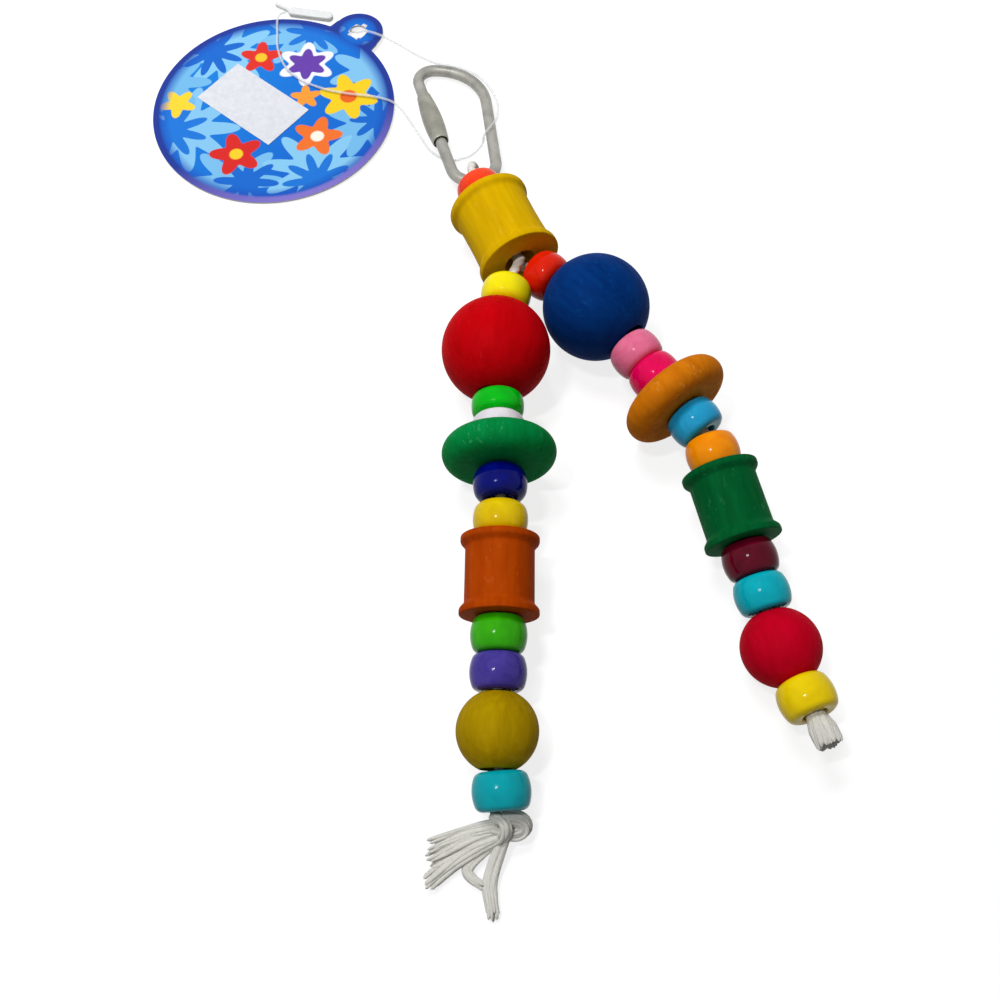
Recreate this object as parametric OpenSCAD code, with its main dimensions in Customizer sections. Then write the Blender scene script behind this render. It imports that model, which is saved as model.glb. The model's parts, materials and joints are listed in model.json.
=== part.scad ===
// Hanging toy for a cage bird, lying on a table: a wire link, a spool with two
// strung legs of wooden balls, discs, spools and plastic beads, and a hang tag.
// Millimetres. The table is z = 0, x runs to the right and y away from the viewer.

/* [Beads] */
// Outer diameter of a plastic bead
bead_d = 9; // [8.4:0.1:9.4]
// Length of a full plastic bead along its hole
bead_len = 5.8; // [5.4:0.1:6.2]
// Diameter of the hole through a bead
bead_hole = 4; // [3.9:0.1:4.4]
// Rounding of a bead's outer edges
bead_round = 2; // [1.5:0.1:2.2]
// Rounding of the lip of a bead's hole
bead_lip = 0.3; // [0.2:0.05:0.4]

/* [Wooden balls] */
// Diameter of the big ball of each leg
big_ball_d = 19; // [18:0.25:20]
// Diameter of the hole through a big ball
big_ball_hole = 6.4; // [6:0.1:6.8]
// Diameter of the small ball of each leg
small_ball_d = 12.7; // [12:0.1:13.4]
// Diameter of the hole through a small ball
small_ball_hole = 5; // [4.6:0.1:5.4]

/* [Wooden discs] */
// Diameter of the disc of each leg
disc_d = 19.2; // [18:0.2:20]
// Thickness of a disc
disc_t = 5.4; // [4.6:0.1:6]
// Diameter of the hole through a disc
disc_hole = 5; // [4:0.1:6]

/* [Leg spools] */
// Diameter of a leg spool's flanges
spool_d = 12.8; // [12.2:0.1:13.4]
// Diameter of a leg spool's barrel
spool_barrel_d = 11.2; // [10:0.1:11.8]
// Length of a leg spool
spool_len = 13; // [12:0.1:14]
// Thickness of a leg spool's flange
spool_flange_t = 1.8; // [1.2:0.1:2.4]
// Diameter of the hole through a leg spool
spool_hole = 5; // [4:0.1:6]

/* [Top spool] */
// Diameter of the top spool's flanges
top_spool_d = 15.5; // [15.2:0.1:16]
// Diameter of the top spool's barrel next to its flanges
top_barrel_d = 14.3; // [13.6:0.1:14.8]
// Depth of the waist of the top spool's barrel
top_waist = 0.45; // [0.2:0.05:0.7]
// Length of the top spool
top_spool_len = 15; // [14.8:0.1:15.2]
// Thickness of the top spool's flange
top_flange_t = 1.7; // [1.2:0.1:2.2]
// Diameter of the hole through the top spool
top_spool_hole = 6; // [5:0.1:7]

/* [Cord] */
// Diameter of the cotton cord
cord_d = 1.8; // [1.7:0.05:1.85]
// Distance between the two strands where they lie side by side
strand_pitch = 2; // [1.95:0.01:2.02]
// Diameter of the knotted cord under the left leg
knot_cord_d = 2.2; // [2:0.1:2.4]
// Diameter of the fuzzy plug that ends the right leg
plug_d = 5; // [4.6:0.1:5.2]
// Length of that plug
plug_len = 5.2; // [4.6:0.1:5.6]

/* [Wire link] */
// Diameter of the link's wire
wire_d = 2.3; // [2:0.05:2.4]
// Radius of the narrow end's bend, to the wire's middle
link_end_r = 4.5; // [4.2:0.1:4.8]
// Radius of the wide end's shoulder, to the wire's middle
link_shoulder_r = 11; // [10.5:0.1:11.5]
// Radius of the wide end's corner, to the wire's middle
link_corner_r = 3.2; // [2.8:0.1:3.6]
// Height of the shoulder's centre above the narrow end
link_shoulder_y = 22.2; // [21.5:0.1:23]
// Offset of the shoulder's centre from the narrow end's middle
link_shoulder_x = 5.5; // [5:0.1:6]

/* [Sleeve] */
// Length of the barrel sleeve that closes the link
sleeve_len = 13.6; // [12.6:0.1:14]
// Diameter of the sleeve at its fattest
sleeve_d = 4.1; // [3.8:0.05:4.3]
// Diameter of the sleeve at its open mouth
sleeve_mouth_d = 3.3; // [3.2:0.05:3.6]
// Diameter of the sleeve at its closed end
sleeve_tail_d = 2.9; // [2.8:0.05:3.2]
// Distance from the narrow end's bend to the sleeve's mouth
sleeve_start = 8; // [7.6:0.1:8.2]
// Gap that the sleeve bridges, between the two ends of the wire
link_gap = 2.8; // [2.2:0.1:3]

/* [Hang tag] */
// Diameter of the round card tag
tag_d = 50; // [46:0.5:52]
// Thickness of the card
tag_t = 0.4; // [0.3:0.05:0.5]
// Radius of the tag's ear
tag_ear_r = 5.4; // [4.8:0.1:5.8]
// Distance from the tag's round edge out to the ear's hole
tag_ear_out = 1.7; // [1:0.1:2.5]
// Diameter of the hole in the ear
tag_hole = 3.6; // [3:0.1:4]
// Rise of the tag towards its ear, in degrees
tag_rise = 0.9; // [0.85:0.05:1.2]
// Length of the blank price sticker
sticker_len = 20.6; // [18:0.2:21]
// Width of the blank price sticker
sticker_wid = 12; // [10:0.2:13]
// Diameter of the nylon filament that holds the tag
filament_d = 0.5; // [0.4:0.05:0.6]
// Length of the filament's flat lock
lock_len = 10; // [9:0.2:11]
// Width of the filament's flat lock
lock_wid = 2.2; // [1.8:0.1:2.6]
// Thickness of the filament's flat lock
lock_t = 1.2; // [1:0.1:1.4]

/* [How it lies] */
// Heading of the top spool, in degrees from straight towards the viewer
top_heading = 24; // [20:1:26]
// Heading of the left big ball as seen from the top spool's lower face
left_ball_heading = -12.5; // [-14:0.5:-12]
// Heading of the right big ball as seen from the top spool's lower face
right_ball_heading = 50; // [49:0.5:52]
// Distance over the table from the top spool to the left big ball
left_neck_run = 20.7; // [20:0.1:22]
// Distance over the table from the top spool to the right big ball
right_neck_run = 17.4; // [17.2:0.1:18]
// Headings of the left leg's four stretches from the first bead down, in degrees
left_headings = [-8.4, 1.6, -0.8, 4];
// Headings of the right leg's four stretches from the first bead down, in degrees
right_headings = [46.5, 34, 14.5, 18];
// Rise of the left leg's last stretch from the small ball outwards, in degrees
left_end_rise = -7.5; // [-8:0.5:-5]
// Rise of the right leg's last stretch from the small ball outwards, in degrees
right_end_rise = 8; // [4:0.5:10]
// Gap between the two beads where the left leg bends
left_bend_gap = 0.5; // [0.45:0.05:1]
// Gap between the two beads where the right leg bends
right_bend_gap = 1; // [0.95:0.05:1.4]

/* [Hidden] */
$fn = 64;
cut = 1;                  // overrun of every cut
piece_gap = 0.1;          // gap between neighbours on a cord
seat_gap = 0.06;          // gap between a bead and the ball it seats on
joint_gap = 0.1;          // gap round the rounded end of a cord stretch
knot_gap = 0.08;          // gap between the last bead, its cord and the knot
wire_gap = 0.05;          // running gap between wire and sleeve
mouth_gap = 0.3;          // wider gap round the wire in the sleeve's mouth
mouth_depth = 3.4;        // depth of the wide mouth
wire_entry = 1;           // how far the lower wire end reaches into the mouth
sleeve_belly_share = 0.42; // place of the sleeve's fattest ring along its length
sleeve_steps = 12;        // rings of the sleeve's curved outside
link_corner_turn = 81;    // where the shoulder meets the corner, in degrees
link_yaw = 10;            // heading of the link's long axis, in degrees
link_dip = 4;             // fall of the link towards its wide end, in degrees
link_foot = [5.3, 44, 3.5]; // middle of the narrow end's wire
head_top = [5.1, 40.1];   // place on the table under the top bead's upper end
ear_foot = [-20.8, 87.3]; // place on the table under the ear's hole
tag_turn = 52.3;          // heading of the ear from the tag's middle, in degrees
sticker_t = 0.12;         // thickness of the sticker
sticker_place = [-4.45, 0.8]; // sticker's middle from the tag's, in table axes
sticker_turn = -39;       // turn of the sticker on the tag, in degrees
lock_place = [-31.5, 93.1]; // middle of the lock on the table
lock_turn = -10;          // heading of the lock, in degrees
pin_d = 0.9;              // diameter of the spent pin at the lock's end
pin_len = 3.8;            // length of the spent pin
pin_turn = 149;           // heading of the spent pin, in degrees
tail_strand_d = 0.9;      // diameter of one frayed ply
plug_neck_d = 3.6;        // plug's diameter against the last bead
plug_round = 0.5;         // slope of the plug's shoulder and far edge
plug_neck_share = 0.16;   // place of the plug's shoulder along it
plug_belly_share = 0.6;   // place where the plug is at its widest
white_len_share = 0.5;    // short spacer bead, as a share of a full bead
slim_len_share = 0.92;    // slimmer beads, as a share of a full bead

LEFT = 0;
RIGHT = 1;

// Kinds of strung piece
BEAD = 0;
BIG = 1;
DISC = 2;
SPOOL = 3;
SMALL = 4;
SPACER = 5;
SLIM = 6;

// Each leg's pieces from the top spool down: the spacer is a short bead
LEFT_KINDS = [BEAD, BIG, SLIM, SPACER, DISC, BEAD, BEAD, SPOOL, BEAD, BEAD, SMALL, BEAD];
RIGHT_KINDS = [BEAD, BIG, SLIM, SLIM, DISC, SLIM, BEAD, SPOOL, BEAD, BEAD, SMALL, BEAD];
KINDS = [LEFT_KINDS, RIGHT_KINDS];

cord_r = cord_d / 2;
wire_r = wire_d / 2;
big_r = big_ball_d / 2;
small_r = small_ball_d / 2;
bead_flat_r = bead_hole / 2 + bead_lip;

// Unit vector of a heading and a slope
function aim(heading, slope) =
    [sin(heading) * cos(slope), -cos(heading) * cos(slope), sin(slope)];

// Children with their z axis along a heading and slope, from a point
module along(point, heading, slope)
    translate(point) rotate([0, 0, heading]) rotate([90 - slope, 0, 0]) children();

// Distance from a ball's centre to the end of a bead that seats on it
function seat(ball_r) = sqrt(pow(ball_r + seat_gap, 2) - pow(bead_flat_r, 2));

function kind_len(kind) = kind == DISC ? disc_t : kind == SPOOL ? spool_len
    : kind == SPACER ? bead_len * white_len_share : kind == SLIM ? bead_len * slim_len_share : bead_len;
function piece_len(side, i) = kind_len(KINDS[side][i]);

// Middle of piece i, where piece first starts at distance start along its stretch
function place(side, first, i, start) = i == first
    ? start + piece_len(side, i) / 2
    : place(side, first, i - 1, start)
        + piece_len(side, i - 1) / 2 + piece_gap + piece_len(side, i) / 2;

// The stretches of a leg below its neck: upper 0, middle 1, lower 2, end 3
bend_gap = [left_bend_gap, right_bend_gap];
headings = [left_headings, right_headings];
ball_heading = [left_ball_heading, right_ball_heading];
neck_run = [left_neck_run, right_neck_run];
neck_z = [top_spool_d / 2 + strand_pitch / 2, top_spool_d / 2 - strand_pitch / 2];
rise = [for (s = [LEFT, RIGHT]) atan2(big_r - neck_z[s], neck_run[s])];
head_run = top_spool_len + piece_gap + bead_len;
head_foot = head_top + head_run * [sin(top_heading), -cos(top_heading)];
neck_point = [for (s = [LEFT, RIGHT]) [head_foot[0], head_foot[1], neck_z[s]]];
ball_point = [for (s = [LEFT, RIGHT])
    neck_point[s] + aim(ball_heading[s], rise[s]) * neck_run[s] / cos(rise[s])];
first_place = seat(big_r) + bead_len / 2;
lift_point = [for (s = [LEFT, RIGHT])
    ball_point[s] - aim(headings[s][0], rise[s]) * (seat(big_r) + piece_len(s, 0))];
neck = [for (s = [LEFT, RIGHT]) lift_point[s] - neck_point[s]];

disc_place = [for (s = [LEFT, RIGHT]) place(s, 2, 4, seat(big_r))];
middle_slope = [for (s = [LEFT, RIGHT]) asin((disc_d / 2 - big_r) / disc_place[s])];
bend_place = [for (s = [LEFT, RIGHT])
    place(s, 2, 5, seat(big_r)) + piece_len(s, 5) / 2 + bend_gap[s] / 2];
bend_point = [for (s = [LEFT, RIGHT])
    ball_point[s] + aim(headings[s][1], middle_slope[s]) * bend_place[s]];
small_place = [for (s = [LEFT, RIGHT])
    place(s, 6, 9, bend_gap[s] / 2) + piece_len(s, 9) / 2 + seat(small_r)];
lower_slope = [for (s = [LEFT, RIGHT]) asin((small_r - bend_point[s][2]) / small_place[s])];
small_point = [for (s = [LEFT, RIGHT])
    bend_point[s] + aim(headings[s][2], lower_slope[s]) * small_place[s]];
knot_place = seat(small_r) + bead_len + knot_gap;
slopes = [for (s = [LEFT, RIGHT])
    [rise[s], middle_slope[s], lower_slope[s], s == LEFT ? left_end_rise : right_end_rise]];
roots = [for (s = [LEFT, RIGHT]) [ball_point[s], ball_point[s], bend_point[s], small_point[s]]];

// Stretch that carries piece i, and the piece's place along it
function stretch_of(i) = i < 2 ? 0 : i < 6 ? 1 : i < 11 ? 2 : 3;
function place_of(side, i) =
    i == 0 ? -first_place
    : i == 1 ? 0
    : i < 6 ? place(side, 2, i, seat(big_r))
    : i < 10 ? place(side, 6, i, bend_gap[side] / 2)
    : i == 10 ? small_place[side]
    : seat(small_r) + bead_len / 2;
function middle_of(pair) = (pair[0] + pair[1]) / 2;

// A bead: a ring of rounded section, its hole with a softly rounded lip
module bead_shape(len) {
    edge = min(bead_round, len / 2 - bead_lip / 2, (bead_d - bead_hole) / 2 - bead_lip);
    side = bead_d / 2 - edge;
    rotate_extrude() intersection() {
        translate([bead_hole / 2, -len / 2]) square([(bead_d - bead_hole) / 2, len]);
        union() {
            for (s = [-1, 1]) {
                translate([side, s * (len / 2 - edge)]) circle(edge);
                translate([bead_flat_r, s * (len / 2 - bead_lip)]) circle(bead_lip);
            }
            translate([bead_hole / 2, bead_lip - len / 2])
                square([side - bead_hole / 2, len - 2 * bead_lip]);
            translate([bead_flat_r, -len / 2]) square([side - bead_flat_r, len]);
            translate([side, edge - len / 2]) square([edge, len - 2 * edge]);
        }
    }
}

// A drilled ball
module ball_shape(d, hole) difference() {
    sphere(d = d);
    cylinder(d = hole, h = d + cut, center = true);
}

// A drilled disc with flat faces and a full round rim
module disc_shape() rotate_extrude() {
    rim = disc_d / 2 - disc_t / 2;
    translate([disc_hole / 2, -disc_t / 2]) square([rim - disc_hole / 2, disc_t]);
    intersection() {
        translate([rim, 0]) circle(disc_t / 2);
        translate([rim, -disc_t / 2]) square([disc_t / 2, disc_t]);
    }
}

// A flange of a spool in section, its rim rounded, from the hole outwards
module flange_section(d, hole, t) {
    rim = d / 2 - t / 2;
    translate([hole / 2, -t / 2]) square([rim - hole / 2, t]);
    intersection() {
        translate([rim, 0]) circle(t / 2);
        translate([rim, -t / 2]) square([t / 2, t]);
    }
}

module leg_spool_shape() rotate_extrude() {
    for (s = [-1, 1])
        translate([0, s * (spool_len - spool_flange_t) / 2])
            flange_section(spool_d, spool_hole, spool_flange_t);
    translate([spool_hole / 2, -spool_len / 2 + spool_flange_t / 2])
        square([(spool_barrel_d - spool_hole) / 2, spool_len - spool_flange_t]);
}

module top_spool_shape() {
    inner = top_spool_len - 2 * top_flange_t;
    waist_r = (pow(inner / 2, 2) + pow(top_waist, 2)) / (2 * top_waist);
    rotate_extrude() {
        for (s = [-1, 1])
            translate([0, s * (top_spool_len - top_flange_t) / 2])
                flange_section(top_spool_d, top_spool_hole, top_flange_t);
        difference() {
            translate([top_spool_hole / 2, -top_spool_len / 2 + top_flange_t / 2])
                square([(top_barrel_d - top_spool_hole) / 2, top_spool_len - top_flange_t]);
            translate([top_barrel_d / 2 - top_waist + waist_r, 0]) circle(waist_r, $fn = 180);
        }
    }
}

// Children in the middle of piece i of a leg, their z axis along the hole; a big ball
// lies over the bend between two stretches and so takes the heading halfway
module on_leg(side, i) {
    k = stretch_of(i);
    big = KINDS[side][i] == BIG;
    along(roots[side][k] + aim(headings[side][k], slopes[side][k]) * place_of(side, i),
        big ? middle_of(headings[side]) : headings[side][k],
        big ? middle_of(slopes[side]) : slopes[side][k]) children();
}
module leg_bead(side, i) on_leg(side, i) bead_shape(piece_len(side, i));

module lemon_bead() color([0.9, 0.85, 0]) leg_bead(LEFT, 0);
module red_ball() color([0.7, 0, 0.04]) on_leg(LEFT, 1) ball_shape(big_ball_d, big_ball_hole);
module green_bead() color([0, 0.75, 0.1]) leg_bead(LEFT, 2);
module white_bead() color([0.92, 0.9, 0.92]) leg_bead(LEFT, 3);
module green_disc() color([0, 0.5, 0.25]) on_leg(LEFT, 4) disc_shape();
module dark_blue_bead() color([0, 0.05, 0.45]) leg_bead(LEFT, 5);
module yellow_bead() color([0.86, 0.74, 0]) leg_bead(LEFT, 6);
module orange_spool() color([0.68, 0.26, 0]) on_leg(LEFT, 7) leg_spool_shape();
module lime_bead() color([0.2, 0.68, 0.04]) leg_bead(LEFT, 8);
module purple_bead() color([0.26, 0.2, 0.58]) leg_bead(LEFT, 9);
module olive_ball() color([0.62, 0.5, 0]) on_leg(LEFT, 10) ball_shape(small_ball_d, small_ball_hole);
module teal_bead() color([0, 0.56, 0.6]) leg_bead(LEFT, 11);

module vermilion_bead() color([0.86, 0.12, 0]) leg_bead(RIGHT, 0);
module blue_ball() color([0, 0.18, 0.45]) on_leg(RIGHT, 1) ball_shape(big_ball_d, big_ball_hole);
module pink_bead() color([0.92, 0.46, 0.6]) leg_bead(RIGHT, 2);
module magenta_bead() color([0.94, 0, 0.36]) leg_bead(RIGHT, 3);
module orange_disc() color([0.84, 0.48, 0.04]) on_leg(RIGHT, 4) disc_shape();
module sky_bead() color([0.12, 0.6, 0.8]) leg_bead(RIGHT, 5);
module orange_bead() color([1, 0.56, 0]) leg_bead(RIGHT, 6);
module green_spool() color([0, 0.38, 0.18]) on_leg(RIGHT, 7) leg_spool_shape();
module maroon_bead() color([0.36, 0.02, 0.12]) leg_bead(RIGHT, 8);
module turquoise_bead() color([0, 0.62, 0.68]) leg_bead(RIGHT, 9);
module crimson_ball() color([0.7, 0, 0.1]) on_leg(RIGHT, 10) ball_shape(small_ball_d, small_ball_hole);
module canary_bead() color([0.9, 0.78, 0]) leg_bead(RIGHT, 11);

// A straight stretch of cord from distance a to b; a round end at round_end,
// and a hollow start that clears the stretch before it
module cord_stretch(a, b, hollow, round_end) difference() {
    union() {
        translate([0, 0, a]) cylinder(d = cord_d, h = b - a);
        if (round_end) translate([0, 0, b]) sphere(d = cord_d);
    }
    if (hollow) translate([0, 0, a]) sphere(r = cord_r + joint_gap);
}

module neck_stretch(side) {
    reach = norm(neck[side]);
    along(neck_point[side], atan2(neck[side][0], -neck[side][1]), asin(neck[side][2] / reach)) {
        cylinder(d = cord_d, h = reach);
        sphere(d = cord_d);
        translate([0, 0, reach]) sphere(d = cord_d);
    }
}
module upper_stretch(side)
    along(lift_point[side], headings[side][0], slopes[side][0])
        cord_stretch(0, norm(ball_point[side] - lift_point[side]), true, true);
module middle_stretch(side)
    along(ball_point[side], headings[side][1], slopes[side][1])
        cord_stretch(0, bend_place[side], true, true);
module lower_stretch(side)
    along(bend_point[side], headings[side][2], slopes[side][2])
        cord_stretch(0, small_place[side], true, true);
module end_stretch(side)
    along(small_point[side], headings[side][3], slopes[side][3])
        cord_stretch(0, knot_place - knot_gap, true, false);

module left_neck_cord() color("ivory") neck_stretch(LEFT);
module left_cord_upper() color("ivory") upper_stretch(LEFT);
module left_cord_middle() color("ivory") middle_stretch(LEFT);
module left_cord_lower() color("ivory") lower_stretch(LEFT);
module left_cord_end() color("ivory") end_stretch(LEFT);
module right_neck_cord() color("ivory") neck_stretch(RIGHT);
module right_cord_upper() color("ivory") upper_stretch(RIGHT);
module right_cord_middle() color("ivory") middle_stretch(RIGHT);
module right_cord_lower() color("ivory") lower_stretch(RIGHT);
module right_cord_end() color("ivory") end_stretch(RIGHT);

// The flared, fuzzy plug that ends the right leg
module right_knot() color("ivory")
    along(small_point[RIGHT], headings[RIGHT][3], slopes[RIGHT][3])
        translate([0, 0, knot_place]) rotate_extrude() polygon([[0, 0], [plug_neck_d / 2, 0],
            [plug_d / 2 - plug_round, plug_neck_share * plug_len],
            [plug_d / 2, plug_belly_share * plug_len], [plug_d / 2, plug_len - plug_round],
            [plug_d / 2 - plug_round, plug_len], [0, plug_len]]);

// A tube of n sides swept along a list of points
function turn_at(p, i) =
    let (a = p[max(i - 1, 0)], b = p[min(i + 1, len(p) - 1)]) (b - a) / norm(b - a);
function flat_of(v, t) = let (w = v - (v * t) * t) w / norm(w);
function frames(p, i = 0, u = [0.12, 0.35, 0.93]) = i == len(p) ? [] :
    let (t = turn_at(p, i), w = flat_of(u, t)) concat([[w, cross(t, w)]], frames(p, i + 1, w));
module tube(p, d, sides) {
    f = frames(p);
    last = len(p) - 1;
    points = [for (i = [0:last]) for (k = [0:sides - 1])
        p[i] + d / 2 * (cos(360 * k / sides) * f[i][0] + sin(360 * k / sides) * f[i][1])];
    walls = [for (i = [0:last - 1]) for (k = [0:sides - 1]) let (m = (k + 1) % sides)
        for (q = [[i * sides + k, i * sides + m, (i + 1) * sides + k],
            [i * sides + m, (i + 1) * sides + m, (i + 1) * sides + k]]) [q[0], q[2], q[1]]];
    ends = [for (k = [1:sides - 2]) for (q = [[0, k, k + 1],
        [last * sides, last * sides + k + 1, last * sides + k]]) q];
    polyhedron(points, concat(walls, ends));
}

// Points of a smooth curve through a route, n steps to each of its spans
function spline(a, b, c, d, t) = 0.5 * (2 * b + (c - a) * t
    + (2 * a - 5 * b + 4 * c - d) * t * t + (3 * b - a - 3 * c + d) * t * t * t);
function smooth(r, n) = concat([for (i = [0:len(r) - 2]) for (s = [0:n - 1])
    spline(r[max(i - 1, 0)], r[i], r[i + 1], r[min(i + 2, len(r) - 1)], s / n)], [r[len(r) - 1]]);

// Doubled cord: straight through spool and bead, over the link's narrow end and back under it
function head_at(distance, height) = [head_foot[0] - distance * sin(top_heading),
    head_foot[1] + distance * cos(top_heading), height];
head_stops = [cord_r + joint_gap, head_run / 3, head_run * 2 / 3, head_run - cord_r, head_run + bead_lip];
head_loop = [[4.4, 42.4, 8.5], [4.4, 44.1, 7.6], [4.6, 45.5, 6], [4.9, 46.2, 4.3], [4.9, 46.2, 3],
    [5.1, 45.2, 1.7], [5.3, 44, 1.3], [5.5, 42.8, 1.7], [5.7, 41.9, 3], [5.7, 41.8, 4.6], [5.6, 41.5, 6]];
head_route = concat([for (d = head_stops) head_at(d, neck_z[LEFT])], head_loop,
    [for (i = [len(head_stops) - 1:-1:0]) head_at(head_stops[i], neck_z[RIGHT])]);

// Place on the table under the end of the left leg's cord; the next two routes start from there
left_end_foot = let (p = small_point[LEFT] + aim(headings[LEFT][3], slopes[LEFT][3]) * knot_place)
    [p[0], p[1], 0];

// The cord's turn past the left leg's last bead, wider than the bead's hole
knot_route = [[0.2, -1.2, 4.6], [0.8, -1.9, 4.2], [2, -1.9, 3.6], [3, -2.3, 3], [3.1, -3.4, 2.5],
    [2, -4.1, 2.3], [0.6, -4.2, 2.6], [-0.8, -3.8, 3.2], [-1.8, -2.9, 3.6], [-2, -1.9, 3.7]];

// Frayed plies past the left knot, lying on the table
tail_routes = [
    [[-3.3, -2.2, 3], [-5.2, -2.3, 2.2], [-7.4, -2.7, 1.2], [-9.4, -3.1, 0.7], [-11.6, -3.4, 0.5]],
    [[-3.3, -3.3, 2.2], [-5.4, -3.7, 1.4], [-7.6, -4.2, 0.7], [-10, -4.9, 0.5], [-12, -5.6, 0.5]],
    [[-3.1, -4.4, 1.4], [-4.8, -4.9, 0.8], [-7.4, -5.6, 0.5], [-9.8, -6.8, 0.5],
        [-11.4, -8.3, 0.5], [-12.3, -9.9, 0.5]],
    [[-2.5, -5.2, 0.8], [-4.2, -5.9, 0.5], [-6.1, -6.9, 0.5], [-6.4, -8.5, 0.5],
        [-5.2, -9.7, 0.5], [-3.3, -10.4, 0.5]],
    [[-0.8, -5.7, 1.6], [-1.5, -6.3, 0.8], [-2.1, -7.4, 0.5], [-2.2, -9, 0.5],
        [-1.9, -11.4, 0.5], [-1.5, -13.4, 0.5], [-1.6, -15.7, 0.5]]
];

// Nylon filament: from the lock over the tag, round the link's wire, through the ear and back
filament_route = [[-36.8, 93.5, 0.8], [-38, 92.6, 1.2], [-38.4, 90.4, 1.5], [-38.1, 86.5, 1.45],
    [-37.6, 82, 1.4], [-35.8, 77.2, 1.4], [-32.8, 73.7, 1.4], [-28.2, 71, 1.4], [-22.7, 69.3, 1.45],
    [-16.2, 68.2, 1.5], [-11.6, 66, 1.5], [-7.7, 60.2, 1], [-4.2, 54.4, 0.5], [-0.6, 52, 0.5],
    [2.6, 52.5, 0.6], [4.8, 53.7, 0.9], [6.3, 55.1, 2], [6.6, 55.7, 3.5], [7.6, 56.8, 4.4],
    [9.1, 59.2, 4.5],
    [9.4, 62.6, 4.2], [8.7, 66, 3.9], [7.2, 69.4, 3.6], [4.6, 72.6, 3.3], [0.8, 74.9, 3.1],
    [-3.7, 76.1, 3], [-7.7, 78.6, 2.8], [-11.7, 81.9, 2.6], [-15.7, 84.8, 2.4], [-18.8, 86.5, 2],
    [-20.6, 87.2, 1.1], [-22.2, 88.2, 0.4], [-24.2, 89.8, 0.3], [-25.8, 91.5, 0.6]];

module head_cord() color("ivory") tube(smooth(head_route, 2), cord_d, 8);
module left_knot() color("ivory") translate(left_end_foot) tube(smooth(knot_route, 3), knot_cord_d, 8);
module left_tail() color("ivory") translate(left_end_foot)
    for (r = tail_routes) tube(smooth(r, 2), tail_strand_d, 6);
module tag_filament() color("whitesmoke") tube(smooth(filament_route, 2), filament_d, 8);

// Children along the doubled cord's straight run, from the spool's lower face back
module on_head(distance)
    along([head_foot[0], head_foot[1], top_spool_d / 2] - aim(top_heading, 0) * distance, top_heading, 0)
        children();
module top_spool() color([0.78, 0.63, 0]) on_head(top_spool_len / 2) top_spool_shape();
module top_bead() color([0.96, 0.27, 0.12])
    on_head(top_spool_len + piece_gap + bead_len / 2) bead_shape(bead_len);

// The link in its own plane: narrow end at the origin, long axis along y
module on_link() translate(link_foot) rotate([0, 0, link_yaw]) rotate([-link_dip, 0, 0]) children();
end_centre = [0, link_end_r];
shoulder_centre = [-link_shoulder_x, link_shoulder_y];
corner_centre = shoulder_centre
    + (link_shoulder_r - link_corner_r) * [cos(link_corner_turn), sin(link_corner_turn)];

// Direction of the outward normal of the straight wire that touches two bends
function side_normal(c1, r1, c2, r2, side) =
    atan2(c2[1] - c1[1], c2[0] - c1[0]) + side * acos((r1 - r2) / norm(c2 - c1));
function on_bend(c, r, angle) = c + r * [cos(angle), sin(angle)];
left_normal = side_normal(end_centre, link_end_r, corner_centre, link_corner_r, 1);
right_normal = side_normal(end_centre, link_end_r, shoulder_centre, link_shoulder_r, -1);
left_low = on_bend(end_centre, link_end_r, left_normal);
left_high = on_bend(corner_centre, link_corner_r, left_normal);
right_low = on_bend(end_centre, link_end_r, right_normal);
right_high = on_bend(shoulder_centre, link_shoulder_r, right_normal);
side_len = norm(left_high - left_low);

// Points of a bend, and a point a distance up the sleeve's side of the link
function bend(c, r, from, to, first, n) =
    [for (i = [first:n]) let (a = from + (to - from) * i / n) [c[0] + r * cos(a), c[1] + r * sin(a), 0]];
function up_side(distance) =
    let (p = left_low + (left_high - left_low) * distance / side_len) [p[0], p[1], 0];

// Children with their z axis along the straight from a to b
module on_side(a, b) translate([a[0], a[1], 0])
    rotate([0, 0, atan2(b[1] - a[1], b[0] - a[0])]) rotate([0, 90, 0]) children();

module link_wire() color([0.66, 0.65, 0.62]) on_link() tube(concat(
    [up_side(sleeve_start + wire_entry + link_gap)],
    bend(corner_centre, link_corner_r, left_normal, link_corner_turn, 0, 8),
    bend(shoulder_centre, link_shoulder_r, link_corner_turn, right_normal, 1, 8),
    bend(end_centre, link_end_r, right_normal + 360, left_normal, 0, 16),
    [up_side(sleeve_start + wire_entry)]
), wire_d, 12);

// Radius of the sleeve's outside at a share of its length
function sleeve_r(s) = s < sleeve_belly_share
    ? sleeve_mouth_d / 2 + (sleeve_d - sleeve_mouth_d) / 2 * sin(90 * s / sleeve_belly_share)
    : sleeve_tail_d / 2 + (sleeve_d - sleeve_tail_d) / 2
        * cos(90 * (s - sleeve_belly_share) / (1 - sleeve_belly_share));

module link_sleeve() color([0.62, 0.61, 0.57]) on_link() on_side(left_low, left_high)
    translate([0, 0, sleeve_start]) difference() {
        rotate_extrude() polygon(concat([[0, 0]],
            [for (i = [0:sleeve_steps]) [sleeve_r(i / sleeve_steps), sleeve_len * i / sleeve_steps]],
            [[0, sleeve_len]]));
        translate([0, 0, -cut]) cylinder(r = wire_r + mouth_gap, h = mouth_depth + cut);
        translate([0, 0, -cut]) cylinder(r = wire_r + wire_gap, h = sleeve_len + 2 * cut);
    }

// The tag's own frame: its middle, x towards the ear, its far edge touching the table
tag_ear_reach = tag_d / 2 + tag_ear_out;
module on_tag() translate([ear_foot[0], ear_foot[1], 0]) rotate([0, 0, tag_turn])
    translate([-tag_ear_reach - tag_d / 2, 0, 0]) rotate([0, -tag_rise, 0])
        translate([tag_d / 2, 0, 0]) children();

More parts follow.
